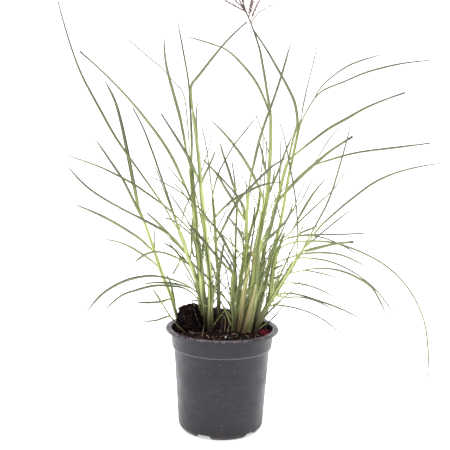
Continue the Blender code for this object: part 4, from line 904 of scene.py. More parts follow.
def rooted(blade):
    """A leaf's line with its foot drawn back to the middle of what it grows from."""
    line = blade.line()
    if blade.parent is None:
        return line
    parent = blade.parent.line()
    nearest = parent[int(np.argmin(np.linalg.norm(parent - line[0], axis=1)))]
    return line + (nearest - line[0]) * (1.0 - ramp(blade.share, 0.0, 0.14))[:, None]


def add_leaf(shape, blade, number):
    """A leaf on the line of its solid."""
    full = blade.widths[0]
    share = np.linspace(0.0, 1.0, LEAF_RINGS)
    cut = is_cut(blade)
    widths = full * (0.97 + FINE_GAIN * clamp((WIDE_LEAF - full) / FINE_SPAN)) * blade_width(share)
    if cut:
        widths = np.maximum(widths, CUT_WIDTH * full)
    if full > SLIM_ABOVE:
        widths = widths * SLIMMER.get(blade.piece, 1.0)
    turns = (max(blade.turns[0], LEAST_FOOT_TURN), max(blade.turns[1], CUT_TURN if cut else LEAST_TURN))
    add_blade(shape, resampled(rooted(blade), LEAF_RINGS), widths, turns, own_number(number, 3.0),
              0.1 if cut else 0.7, share, dry=DRY_LEAVES.get(blade.piece, 0.0), cut=1.0 if cut else 0.0)


def add_tuft(shape, stem, count, number):
    """Short blades standing close round the lower half of a stem, each growing from it."""
    rng = np.random.default_rng(100 + number)
    axis = stem.line()
    share = np.linspace(0.0, 1.0, TUFT_RINGS)
    for k in range(count):
        seat = int(rng.uniform(0.02, 0.72 if k % 3 == 0 else 0.4) * (SAMPLES - 1))
        length, width, lean, bow = [rng.uniform(*span) for span in (CLASPING if k % 3 == 1 else SPREADING)]
        hand = 1 if (k + number) % 2 else -1
        before, after = stem.front[max(0, seat - 2)], stem.front[seat + 2]
        lean = hand * math.radians(lean) + math.atan2(after[0] - before[0], after[1] - before[1])
        bow = hand * math.radians(bow)
        x, z = stem.front[seat]
        front = [(x, z)]
        for step in range(1, 6):
            angle = lean + bow * (step / 5.0) ** 1.5
            x += length / 5.0 * math.sin(angle)
            z += length / 5.0 * math.cos(angle)
            front.append((x, z))
        depth = float(axis[seat][1])
        turns = (rng.uniform(30.0, 75.0), rng.uniform(25.0, 50.0))
        tip_depth = depth + rng.uniform(-0.3, 0.3) * length
        blade = Blade(stem.piece, "leaf", front, depth, tip_depth, (width, width), turns)
        tint = rng.uniform()
        add_blade(shape, resampled(blade.line(), TUFT_RINGS), width * blade_width(share), turns, tint, 0.8,
                  0.03 + 0.3 * share, dry=0.7 if tint > 0.88 else 0.0)


def stem_line(stem):
    """The line of a stem, carried on down into the peat."""
    line = stem.line()
    heights = np.array([peat_height(x, y) for x, y, _ in line])
    above = int(np.argmax(line[:, 2] > heights))
    lean = line[above + 3] - line[above]
    lean = lean / lean[2]
    foot = line[above] - lean * (line[above][2] - heights[above] + PLANT_DEPTH)
    return np.vstack([[foot], line[above:]])


def add_stem(shape, stem, seats, number):
    """A culm in its sheaths: it steps in a little wherever a leaf parts from it."""
    line = resampled(stem_line(stem), STEM_RINGS)
    share = np.linspace(0.0, 1.0, STEM_RINGS)
    radii = stem_radius(stem, share) * (1.0 + STEM_SWELL * np.sin(math.pi * share))
    for seat in seats:
        radii = radii + SHEATH_STEP * ramp(seat - share, 0.0, 0.012) * (1.0 - ramp(seat - share, 0.0, 0.3))
    if stem.piece != "stem_flower":
        radii = radii * (1.0 - 0.75 * ramp(share, 0.985, 1.0))
    turn = spin(STEM_SIDES)
    wide, deep = radii, radii
    tangents, sides, faces = frames(line)
    if stem.piece in DRY_STRIPS:
        sides = np.array([1.0, 0.0, 0.0]) - tangents * tangents[:, :1]
        faces = np.cross(sides, tangents)
        wide = radii * (STRIP_BROAD - 0.8 * share ** 3)
        deep = radii * STRIP_FLAT
    ribs = 1.0 + 0.035 * np.cos(5 * turn + number)
    shape.add_loft(tube(line, wide, deep, sides, faces, turn, ribs),
                   along=np.repeat(line[:, 2] / STEM_FULL_HEIGHT, STEM_SIDES),
                   side=np.tile(turn / math.pi - 1.0, STEM_RINGS), tint=own_number(number, 7.0),
                   dry=DRY_STEMS.get(stem.piece, 0.0))


def add_plume(shape, blade, number, stalk):
    """One branch of the flower head: a thin axis set with small pointed spikelets."""
    line = resampled(blade.line() if number else np.vstack([stalk, blade.line()]), PLUME_RINGS)
    share = np.linspace(0.0, 1.0, PLUME_RINGS)
    radii = (PLUME_TWIG if number else PLUME_STALK) * (1.0 - 0.55 * share)
    along = (0.35 if number else 0.1) * share
    tangents, sides, faces = shape.add_tube(line, radii, PLUME_SIDES, along=along, tint=own_number(number, 5.0))
    if number == 0:
        return
    length = float(np.linalg.norm(np.diff(line, axis=0), axis=1).sum())
    fullness = PLUME_FULLNESS[number]
    count = int(fullness * length / SPIKELET_STEP)
    spread = 0.2 + 0.06 * fullness
    for k in range(count):
        place = (k + 0.5) / count
        if place < 0.1:
            continue
        i = int(place * (PLUME_RINGS - 1))
        angle = 2.4 * k + number
        outward = math.cos(angle) * sides[i] + math.sin(angle) * faces[i]
        foot = line[i] + outward * 0.3 * max(0.0, fullness - 1.5)
        add_spikelet(shape, foot, tangents[i] * 0.96 + outward * spread, outward, own_number(k, number))


def add_spikelet(shape, foot, direction, outward, tint):
    """A slender pointed floret with three fine hairs."""
    direction = direction / np.linalg.norm(direction)
    across = np.cross(direction, outward)
    across /= np.linalg.norm(across)
    outward = np.cross(across, direction)
    length = SPIKELET_LENGTH * (0.8 + 0.4 * tint)
    stations = np.array([0.0, 0.25, 0.55, 0.85, 1.0])
    fat = np.array([0.35, 1.0, 0.85, 0.35, 0.05]) * SPIKELET_RADIUS
    line = foot + direction * (stations * length)[:, None]
    shape.add_loft(tube(line, fat, fat, across[None], outward[None], spin(SPIKELET_SIDES)),
                   along=0.5 + 0.5 * np.repeat(stations, SPIKELET_SIDES), tint=tint)
    for k in range(3):
        lean = direction + across * (0.35 * (k - 1)) + outward * (0.22 + 0.1 * tint)
        tip = foot + lean / np.linalg.norm(lean) * length * (1.15 + 0.25 * k % 2)
        wide = np.cross(lean, outward)
        wide = wide / np.linalg.norm(wide) * HAIR_WIDTH
        shape.add([foot - wide, foot + wide, foot + outward * HAIR_WIDTH, tip],
                  [(0, 1, 3), (1, 2, 3), (2, 0, 3), (2, 1, 0)], along=[0.8, 0.8, 0.8, 1.0], tint=tint, side=1.0)


def peat_height(x, y):
    """Height of the peat: a low dome with lumps, a tall clod at the left and a bank at the back."""
    from_axis = math.hypot(x, y)
    spread = from_axis / RIM_RADIUS
    lumps = 0.8 * math.sin(0.21 * x + 1.3) * math.cos(0.17 * y + 0.4) + 0.5 * math.sin(0.33 * x - 0.29 * y)
    clod = CLOD[4] * clamp((1.35 - clod_share(x, y)) / 0.65)
    bank = BANK_RISE * clamp((y - BANK_START) / BANK_REACH)
    kept = max(EDGE_SHARE, min(1.0, (PEAT_RADIUS - from_axis) / EDGE_REACH))
    return PEAT_LEVEL + 2.5 * (1.0 - spread * spread) + lumps + kept * max(clod, bank)


def clod_share(x, y):
    """How far out of the clod's middle a place is, 1 at its waist."""
    return math.hypot((x - CLOD[0]) / CLOD[2], (y - CLOD[1]) / CLOD[3])


def rough_peat(x, y):
    """The peat surface with its crumbly unevenness, and the clod's edges crumbled round."""
    place = Vector((x, y, 0.0))
    coarse = noise.fractal(place * 0.16, 0.9, 2.1, 4)
    fine = noise.noise(place * 0.9)
    off = clod_share(x, y)
    near = clamp((1.6 - off) / 0.5)
    round_off = 2.2 * math.exp(-((off - 0.72) / 0.22) ** 2)
    return peat_height(x, y) + (1.0 + 1.3 * near) * coarse + (0.5 + 0.5 * near) * fine - round_off


def on_peat(x, z):
    """Where the line of sight through a front point meets the peat."""
    for depth in np.arange(-PEAT_RADIUS, PEAT_RADIUS, 0.5):
        place = seen_point(x, z, depth)
        if math.hypot(place[0], place[1]) < PEAT_RADIUS and place[2] <= rough_peat(place[0], place[1]):
            return place
    return seen_point(x, z, 0.0)


def lathe_rings(profile, steps):
    """Rings of a body turned round the pot's axis from an open outline of radius and height."""
    turn = spin(steps)
    return np.array([np.column_stack([radius * np.cos(turn), radius * np.sin(turn), np.full(steps, z)])
                     for radius, z in profile])


def rounded(profile, bend, count=5):
    """An outline with every inner corner turned into a small curve."""
    profile = [np.array(point, dtype=float) for point in profile]
    smooth = [profile[0]]
    for before, corner, after in zip(profile, profile[1:], profile[2:]):
        to_before, to_after = before - corner, after - corner
        cut = min(bend, 0.45 * np.linalg.norm(to_before), 0.45 * np.linalg.norm(to_after))
        start = corner + to_before / np.linalg.norm(to_before) * cut
        end = corner + to_after / np.linalg.norm(to_after) * cut
        for t in np.linspace(0.0, 1.0, count):
            smooth.append((1 - t) ** 2 * start + 2 * t * (1 - t) * corner + t ** 2 * end)
    smooth.append(profile[-1])
    return smooth


def make_pot(material):
    """The pot, with its rolled rim, collar, drain slots and a wall that is never quite round."""
    rim_foot = POT_HEIGHT - LIP_HEIGHT
    outline = rounded([
        (0.2, BASE_RECESS), (FOOT_RING_INSIDE, BASE_RECESS), (FOOT_RING_INSIDE + 0.8, 0.0), (BASE_RADIUS, 0.0),
        (BODY_FOOT_RADIUS - 0.6, BODY_FOOT_Z - 1.0),
        (BODY_FOOT_RADIUS + 0.15, BODY_FOOT_Z + 2.0), (BODY_TOP_RADIUS, COLLAR_FOOT_Z - 1.0),
        (COLLAR_FOOT_RADIUS - 0.3, COLLAR_FOOT_Z - 0.2), (COLLAR_FOOT_RADIUS + 0.25, COLLAR_FOOT_Z + 1.2),
        (COLLAR_TOP_RADIUS, rim_foot - 0.9), (COLLAR_TOP_RADIUS + 1.4, rim_foot - 0.1),
        (RIM_RADIUS - 0.5, rim_foot), (RIM_RADIUS, rim_foot + 1.2), (RIM_RADIUS - 0.3, POT_HEIGHT - 0.4),
        (RIM_RADIUS - 2.0, POT_HEIGHT), (COLLAR_TOP_RADIUS - WALL + 0.8, POT_HEIGHT - 0.4),
        (COLLAR_TOP_RADIUS - WALL - 0.1, POT_HEIGHT - 2.4), (COLLAR_FOOT_RADIUS - WALL, COLLAR_FOOT_Z + 1.6),
        (BODY_TOP_RADIUS - WALL, COLLAR_FOOT_Z), (BODY_FOOT_RADIUS - WALL, FLOOR + 1.2),
        (BASE_RADIUS - 1.0, FLOOR), (0.2, FLOOR),
    ], 0.9)
    rings = lathe_rings(outline, POT_STEPS)
    turn = np.arctan2(rings[..., 1], rings[..., 0])
    sway = 1.0 + 0.003 * np.cos(2 * turn + 0.8) + 0.0016 * np.cos(5 * turn + rings[..., 2] * 0.02)
    rings[..., :2] *= sway[..., None]
    shape = Shape()
    shape.add_loft(rings, along=np.repeat(np.array(outline)[:, 1] / POT_HEIGHT, POT_STEPS))
    pot = shape.build("pot_moulded", material, "pot", ["pot"])
    slots = Shape()
    half = NOTCH_WIDTH / 2
    for k in range(NOTCH_COUNT):
        angle = math.radians(NOTCH_FIRST_DEG + 360.0 * k / NOTCH_COUNT)
        out = np.array([math.cos(angle), math.sin(angle), 0.0])
        side = np.array([-math.sin(angle), math.cos(angle), 0.0])
        corners = [(-half, -1.0), (half, -1.0), (half - 1.2, NOTCH_HEIGHT), (-half + 1.2, NOTCH_HEIGHT)]
        slots.add_loft(np.array([[out * reach + side * a + np.array([0.0, 0.0, z]) for a, z in corners]
                                 for reach in (FOOT_RING_INSIDE - 6.0, BODY_FOOT_RADIUS + 6.0)]))
    cutter = add_object("slot_cutter", slots.mesh("slot_cutter"))
    change = pot.modifiers.new("slots", "BOOLEAN")
    change.object = cutter
    change.solver = "EXACT"
    bpy.context.view_layer.update()
    data = bpy.data.meshes.new_from_object(pot.evaluated_get(bpy.context.evaluated_depsgraph_get()))
    pot.modifiers.clear()
    pot.data = data
    bpy.data.objects.remove(cutter)


def make_peat(material):
    """The bed of peat: a crumbly skin over the pot's fill, with the clod at the left."""
    turn = spin(PEAT_STEPS)
    bottom = COLLAR_FOOT_Z - 2.0
    points = [(0.0, 0.0, rough_peat(0.0, 0.0))]
    for radius in np.linspace(0.0, PEAT_RADIUS, PEAT_RINGS + 1)[1:]:
        sink = PEAT_EDGE_SINK * max(0.0, (radius - PEAT_RADIUS + 5.0) / 5.0) ** 2
        for angle in turn:
            x, y = radius * math.cos(angle), radius * math.sin(angle)
            points.append((x, y, rough_peat(x, y) - sink))
    points += [(PEAT_FOOT_RADIUS * math.cos(angle), PEAT_FOOT_RADIUS * math.sin(angle), bottom) for angle in turn]
    points.append((0.0, 0.0, bottom))
    faces = []
    last = 1 + PEAT_RINGS * PEAT_STEPS
    for k in range(PEAT_STEPS):
        j = (k + 1) % PEAT_STEPS
        faces.append((0, 1 + k, 1 + j))
        for base in range(1, last, PEAT_STEPS):
            faces.append((base + k, base + PEAT_STEPS + k, base + PEAT_STEPS + j, base + j))
        faces.append((last + j, last + k, len(points) - 1))
    shape = Shape()
    shape.add(points, faces, tint=0.5)
    shape.build("peat_bed", material, "peat", ["peat"])


def lump(seed, size):
    """Rings of a small uneven lump."""
    shift = Vector((seed * 7.1, seed * 3.3, seed))
    rings = np.zeros((LUMP_RINGS, LUMP_SIDES, 3))
    for i in range(LUMP_RINGS):
        lift = math.pi * (i + 0.5) / LUMP_RINGS
        for k in range(LUMP_SIDES):
            turn = 2.0 * math.pi * (k + 0.5 * (i % 2)) / LUMP_SIDES
            way = Vector((math.sin(lift) * math.cos(turn), math.sin(lift) * math.sin(turn), math.cos(lift)))
            rings[i, k] = np.array(way) * (1.0 + 0.7 * noise.noise(way * 2.3 + shift)) * size
    return rings


def scattered(rng, centre, half, nearest=0.0, farthest=1.0, power=0.5):
    """A random place in an oval, and how far out it is."""
    turn, off = rng.uniform(0, 2 * math.pi), rng.uniform(nearest, farthest) ** power
    return centre[0] + half[0] * off * math.cos(turn), centre[1] + half[1] * off * math.sin(turn), off


def make_crumbs(material):
    """Crumbs of peat over the bed, thickest on the clod, and a few fallen on the rim."""
    rng = np.random.default_rng(5)
    shape = Shape()
    for k in range(CRUMBS):
        if k < 0.42 * CRUMBS:
            x, y, _ = scattered(rng, CLOD[:2], (1.2 * CLOD[2], 1.2 * CLOD[3]), 0.0, 1.25, 0.7)
        else:
            x, y, _ = scattered(rng, (0.0, 0.0), (PEAT_RADIUS, PEAT_RADIUS))
        if math.hypot(x, y) > PEAT_RADIUS - 1.5:
            continue
        size = float(np.clip(rng.lognormal(0.15, 0.5), 0.5, 3.6 if k < 0.3 * CRUMBS else 2.2))
        place = (x, y, rough_peat(x, y) + 0.25 * size)
        shape.add_loft(lump(k, size) * rng.uniform(0.7, 1.2, 3) + place, tint=rng.uniform())
    for k in range(RIM_CRUMBS):
        turn = math.radians(rng.normal(-127.0, 7.0) if k % 3 else rng.uniform(0.0, 360.0))
        radius = rng.uniform(68.5, 73.5)
        place = (radius * math.cos(turn), radius * math.sin(turn), POT_HEIGHT + 0.1)
        shape.add_loft(lump(k + 0.5, rng.uniform(0.35, 0.9)) * (1.0, 1.0, 0.6) + place, tint=rng.uniform(0.4, 1.0))
    shape.build("peat_crumbs", material, "peat")


def add_thread(shape, points, radius, tint):
    """A thin tapering thread through points."""
    count = len(THREAD_TAPER)
    shape.add_tube(smooth_line(points, count), radius * np.array(THREAD_TAPER), THREAD_SIDES, tint=tint,
                   along=np.linspace(0, 1, count))


def make_fibres(material):
    """Bits of straw and root on the peat: the large ones of the photo, and small scattered ones."""
    rng = np.random.default_rng(11)
    shape = Shape()
    for radius, tint, front in STRAWS:
        points = [on_peat(x, z - lift) + (0.0, 0.0, lift + radius) for x, z, lift in front]
        add_thread(shape, points, radius, tint)
    for _ in range(FIBRES):
        x, y, _ = scattered(rng, (0.0, 0.0), (PEAT_RADIUS, PEAT_RADIUS), 0.02, 0.9)
        way, length, bow = rng.uniform(0, 2 * math.pi), rng.uniform(4.0, 13.0), rng.uniform(-0.5, 0.5)
        points = []
        for s in (0.0, 0.35, 0.7, 1.0):
            px = x + length * (s * math.cos(way) - bow * s * s * math.sin(way))
            py = y + length * (s * math.sin(way) + bow * s * s * math.cos(way))
            if math.hypot(px, py) > PEAT_RADIUS - 1.0:
                break
            points.append((px, py, rough_peat(px, py) + 0.4 + rng.uniform(0.0, 1.4)))
        if len(points) == 4:
            add_thread(shape, points, rng.uniform(0.16, 0.42), rng.uniform())
    shape.build("straw_and_roots", material, "dry_sheaths")


def make_stubs(material):
    """Short dark stumps of old culms between the stems."""
    rng = np.random.default_rng(31)
    shape = Shape()
    for _ in range(OLD_STUBS):
        x, y = rng.uniform(-22.0, 44.0), rng.uniform(-8.0, 30.0)
        height = rng.uniform(10.0, 26.0)
        lean_x, lean_y = rng.uniform(-0.25, 0.25, 2)
        foot = rough_peat(x, y) - 3.0
        line = smooth_line([(x + lean_x * height * s, y + lean_y * height * s, foot + (height + 3.0) * s)
                            for s in (0.0, 0.35, 0.7, 1.0)], STUB_RINGS)
        taper = np.linspace(1.1, 0.75, STUB_RINGS)
        radii = rng.uniform(1.0, 2.1) * taper * (1.0 + rng.uniform(-0.12, 0.12, STUB_RINGS))
        shape.add_tube(line, radii, STUB_SIDES, tint=rng.uniform(), along=np.linspace(0, 1, STUB_RINGS))
    shape.build("old_culm_stubs", material, "dry_sheaths")


def make_granules(material):
    """The heap of crimson granules."""
    rng = np.random.default_rng(23)
    shape = Shape()
    for k in range(GRANULES):
        x, y, off = scattered(rng, GRANULE_PATCH[:2], GRANULE_PATCH[2:])
        if math.hypot(x, y) > PEAT_RADIUS - 1.0:
            continue
        size = rng.uniform(0.8, 1.7)
        z = rough_peat(x, y) + 0.4 * size + 2.6 * (1.0 - off * off) * rng.uniform(0.0, 1.0)
        shape.add_loft(lump(k + 0.25, size) * rng.uniform(0.75, 1.2, 3) + (x, y, z), tint=rng.uniform())
    shape.build("granule_heap", material, "granules", ["red_granules"])


def make_grit(material):
    """A few pale crumbs of perlite lying on the peat."""
    shape = Shape()
    for k, (x, z, size) in enumerate(GRIT):
        shape.add_loft(lump(k + 0.75, size) + on_peat(x, z) + (0.0, 0.0, 0.4 * size), tint=0.5)
    shape.build("perlite_crumbs", material, "granules")


def make_plant(materials):
    """One mesh for every stem, wide leaf and the flower head."""
    shapes = {}
    blades = plan_blades()
    for number, blade in enumerate(blades):
        shape = shapes.setdefault(blade.piece, Shape())
        leaves = shapes.setdefault(blade.piece + "_leaves", Shape())
        if blade.kind == "stem":
            seats = [leaf.seat for leaf in blades if leaf.parent is blade]
            add_stem(shape, blade, seats, number)
            add_tuft(leaves, blade, TUFT_BLADES.get(blade.piece, 0), number)
        elif blade.kind == "leaf":
            add_leaf(shape if blade.piece.startswith("leaf") else leaves, blade, number)
    stalk = [blade for blade in blades if blade.piece == "stem_flower"][0].line()[-3]
    for number, blade in enumerate([blade for blade in blades if blade.kind == "plume"]):
        add_plume(shapes["flower_head"], blade, number, stalk)
    for name, shape in shapes.items():
        look, slot = PIECE_LOOKS[name.split("_")[0]]
        if name.endswith("_leaves"):
            if shape.count:
                shape.build(name, materials["leaf"], "leaves")
        else:
            shape.build(name + "_grown", materials[look], slot, [name])


class Paint:
    """A material, short ways to add nodes to it, and the colour laid on so far."""

    def __init__(self, name, colour):
        self.material = bpy.data.materials.new(name)
        self.material.use_nodes = True
        self.tree = self.material.node_tree
        self.shader = self.tree.nodes["Principled BSDF"]
        self.place = self.node("ShaderNodeTexCoord").outputs["Object"]
        self.colour = colour

    def node(self, kind, *inputs, **settings):
        """A node with its first inputs fed."""
        made = self.tree.nodes.new(kind)
        for key, value in settings.items():
            setattr(made, key, value)
        for socket, value in zip(made.inputs, inputs):
            self.feed(socket, value)
        return made

    def feed(self, socket, value):
        """Link an output to a socket, or set the socket to a plain value."""
        if isinstance(value, bpy.types.NodeSocket):
            self.tree.links.new(value, socket)
        elif isinstance(value, tuple) and len(value) == 3 and socket.type == "RGBA":
            socket.default_value = (*value, 1.0)
        else:
            socket.default_value = value

    def value(self, name):
        """A value stored at every point of the mesh."""
        return self.node("ShaderNodeAttribute", attribute_name=name).outputs["Fac"]

    def math(self, operation, a, b=0.0):
        return self.node("ShaderNodeMath", a, b, operation=operation).outputs[0]

    def step(self, value, low, high, to_low=0.0, to_high=1.0):
        """A smooth step from one value to another."""
        return self.node("ShaderNodeMapRange", value, low, high, to_low, to_high,
                         interpolation_type="SMOOTHSTEP").outputs[0]

    def mix(self, share, a, b):
        made = self.node("ShaderNodeMix", share, data_type="RGBA")
        self.feed(made.inputs[6], a)
        self.feed(made.inputs[7], b)
        return made.outputs[2]

    def over(self, colour, *shares):
        """Lay a colour over what is there, as far as the product of the shares says."""
        share = shares[0]
        for factor in shares[1:]:
            share = self.math("MULTIPLY", share, factor)
        self.colour = self.mix(share, self.colour, colour)

    def height(self):
        """Height above the ground."""
        return self.node("ShaderNodeSeparateXYZ", self.place).outputs[2]

    def lengthwise(self, across, along, seed):
        """A place on the surface in a piece's own terms, so that streaks follow it."""
        return self.node("ShaderNodeCombineXYZ", across, along, seed).outputs[0]

    def stretched(self, scale, place=None):
        made = self.node("ShaderNodeMapping", place or self.place)
        made.inputs["Scale"].default_value = scale
        return made.outputs[0]

    def noise(self, scale, detail=4.0, rough=0.55, place=None):
        made = self.node("ShaderNodeTexNoise", place or self.place)
        for name, value in (("Scale", scale), ("Detail", detail), ("Roughness", rough)):
            made.inputs[name].default_value = value
        return made.outputs["Fac"]

    def bump(self, height, strength, distance):
        made = self.node("ShaderNodeBump")
        for name, value in (("Strength", strength), ("Distance", distance), ("Height", height)):
            self.feed(made.inputs[name], value)
        self.feed(self.shader.inputs["Normal"], made.outputs[0])

    def finish(self, roughness, **uniform):
        self.feed(self.shader.inputs["Base Color"], self.colour)
        self.feed(self.shader.inputs["Roughness"], roughness)
        for name, value in uniform.items():
            self.shader.inputs[name.replace("_", " ")].default_value = value
        return self.material


def pot_paint():
    """Dark recycled plastic: faint streaks, pale mottling, scuffs and dust of soil, painted highlights on the collar
    step and rim top, painted shade under the lip, and a wall darkened towards its foot.
    """
    paint = Paint("pot plastic", POT_DARK)
    z = paint.height()
    streak = paint.noise(30.0, 3.0, 0.6, paint.stretched((1.0, 1.0, 9.0)))
    paint.over(POT_LIGHT, paint.step(paint.noise(14.0, 6.0, 0.7), 0.35, 0.7))
    paint.over(POT_STREAK, paint.step(streak, 0.5, 0.78), 0.35)
    paint.over(POT_SCUFF, paint.step(paint.noise(210.0, 2.0, 0.5), 0.66, 0.74), 0.35)
    # Painted highlight: a thin pale line along the collar's lower step, wavering a little in height.
    step_highlight_height = paint.math("SUBTRACT", z, paint.math("MULTIPLY", paint.noise(60.0, 3.0), 0.0012))
    paint.over(POT_EDGE_HIGHLIGHT, paint.step(step_highlight_height, 0.1101, 0.1107), paint.step(step_highlight_height, 0.1117, 0.1124, 1.0, 0.0), 0.42)
    # Pale specks along the top of the rim: partly the lip's own light-grey spots, partly a painted highlight where
    # the lip faces the lamp.
    paint.over(POT_EDGE_HIGHLIGHT, paint.step(z, 0.1345, 0.1362), paint.step(paint.noise(230.0, 4.0, 0.7), 0.44, 0.62), 0.6)
    paint.over(SOIL_DUST, paint.step(paint.noise(95.0, 6.0, 0.7), 0.56, 0.7), paint.step(z, 0.12, 0.1375), 0.55)
    paint.over(SOIL_DUST, paint.step(paint.noise(120.0, 5.0, 0.7), 0.5, 0.66),
               paint.step(z, 0.004, 0.016, 1.0, 0.0), 0.6)
    # The wall is darkened towards its foot, most at the ground and fading out 30 mm up.
    paint.over(PEAT_DARK_AND_SHADE, paint.step(z, 0.0, 0.03, 0.55, 0.0))
    # Painted shade: a near-black band on the collar just under the rolled lip.
    paint.over(PEAT_DARK_AND_SHADE, paint.step(z, 0.1265, 0.1315), paint.step(z, 0.1335, 0.1345, 1.0, 0.0), 0.75)
    paint.bump(paint.math("ADD", paint.noise(900.0, 2.0), paint.math("MULTIPLY", streak, 1.6)), 0.22, 0.0006)
    return paint.finish(paint.step(paint.noise(45.0, 4.0), 0.3, 0.75, 0.36, 0.52), Specular_IOR_Level=0.3)


def peat_paint():
    """Moist peat: near black, with brown and reddish crumbs."""
    paint = Paint("peat", PEAT_DARK_AND_SHADE)
    cloud = paint.noise(130.0, 6.0, 0.7)
    paint.over(PEAT_BROWN, paint.step(cloud, 0.35, 0.72))
    paint.over(PEAT_RED, paint.step(paint.value("tint"), 0.72, 0.98), 0.75)
    paint.over(PEAT_FLECK, paint.step(paint.noise(420.0, 3.0, 0.6), 0.66, 0.74), 0.5)
    paint.bump(paint.noise(520.0, 6.0, 0.75), 0.8, 0.0012)
    return paint.finish(paint.step(cloud, 0.2, 0.8, 0.72, 0.98), Specular_IOR_Level=0.08)


def straw_paint():
    """Dry straw and root bits, from tan to grey brown."""
    paint = Paint("straw", STRAW_DARK)
    blotch = paint.noise(260.0, 4.0, 0.6)
    paint.over(STRAW_PALE, paint.step(paint.value("tint"), 0.1, 0.9))
    paint.over(STRAW_DARK, paint.step(blotch, 0.5, 0.75), 0.5)
    paint.bump(paint.noise(900.0, 3.0), 0.4, 0.0004)
    return paint.finish(paint.step(blotch, 0.2, 0.8, 0.6, 0.9))


def granule_paint():
    """Crimson granules, each a little different."""
    paint = Paint("granules", GRANULE_DARK)
    spot = paint.noise(700.0, 3.0, 0.6)
    paint.over(GRANULE_BRIGHT, paint.value("tint"))
    paint.over(GRANULE_DARK, paint.step(spot, 0.5, 0.7), 0.4)
    paint.bump(spot, 0.5, 0.0006)
    return paint.finish(paint.step(spot, 0.3, 0.7, 0.6, 0.85), Specular_IOR_Level=0.15)


def grit_paint():
    """Pale, slightly dirty perlite."""
    paint = Paint("perlite", GRIT_PALE)
    spot = paint.noise(800.0, 4.0, 0.6)
    paint.over(GRIT_GREY, paint.step(spot, 0.4, 0.7))
    paint.bump(spot, 0.6, 0.0006)
    return paint.finish(paint.step(spot, 0.3, 0.7, 0.75, 0.95))


def leaf_paint():
    """A grass blade: dark margins, a paler rib and veins, streaks of yellow green, painted shade on one half of its
    fold, and a drying or cut tip.
    """
    paint = Paint("leaves", LEAF_MIDDLE)
    along, side, tint, dry, cut = (paint.value(name) for name in Shape.VALUES)
    across, z = paint.math("ABSOLUTE", side), paint.height()
    patch = paint.noise(26.0, 4.0, 0.6, paint.stretched((1.0, 1.0, 0.35)))
    young = paint.step(along, 0.06, 0.32)
    veins = paint.math("SINE", paint.math("MULTIPLY", side, 42.0))
    paint.over(LEAF_OLD, paint.step(tint, 0.0, 1.0))
    paint.over(LEAF_FOOT, paint.step(patch, 0.45, 0.7), 0.3)
    paint.over(LEAF_FOOT, paint.step(along, 0.03, 0.32, 0.75, 0.0), paint.step(z, 0.25, 0.5, 1.0, 0.2))
    paint.over(LEAF_HIGH, paint.step(z, 0.36, 0.54, 0.0, 0.7))
    # Painted shade: one half of the folded blade is darker, as if turned from the light, except near its foot.
    paint.over(LEAF_MARGIN_AND_SHADE, paint.step(side, 0.1, 0.5), paint.step(tint, 0.3, 0.7, 0.65, 0.2), young)
    paint.over(LEAF_MARGIN_AND_SHADE, paint.step(across, 0.7, 0.95), paint.math("MAXIMUM", young, 0.35), 0.75)
    paint.over(LEAF_RIB, paint.step(across, 0.06, 0.24, 1.0, 0.0), paint.step(along, 0.3, 0.95, 0.6, 0.1))
    paint.over(LEAF_RIB, paint.step(veins, -0.2, 1.0), 0.12)
    paint.over(LEAF_PALE, paint.step(along, 0.55, 1.0), 0.45)
    paint.over(STRAW_PALE, paint.step(along, 0.93, 1.0), paint.step(tint, 0.3, 0.8, 0.0, 0.6),
               paint.math("SUBTRACT", 1.0, cut))
    paint.over(LEAF_CUT, cut, paint.step(along, 0.9, 0.985, 0.0, 0.9))
    paint.over(STRAW_PALE, dry, paint.step(patch, 0.3, 0.6, 0.6, 1.0))
    paint.bump(veins, 0.25, 0.0002)
    return paint.finish(paint.step(patch, 0.3, 0.7, 0.42, 0.6), Specular_IOR_Level=0.4)


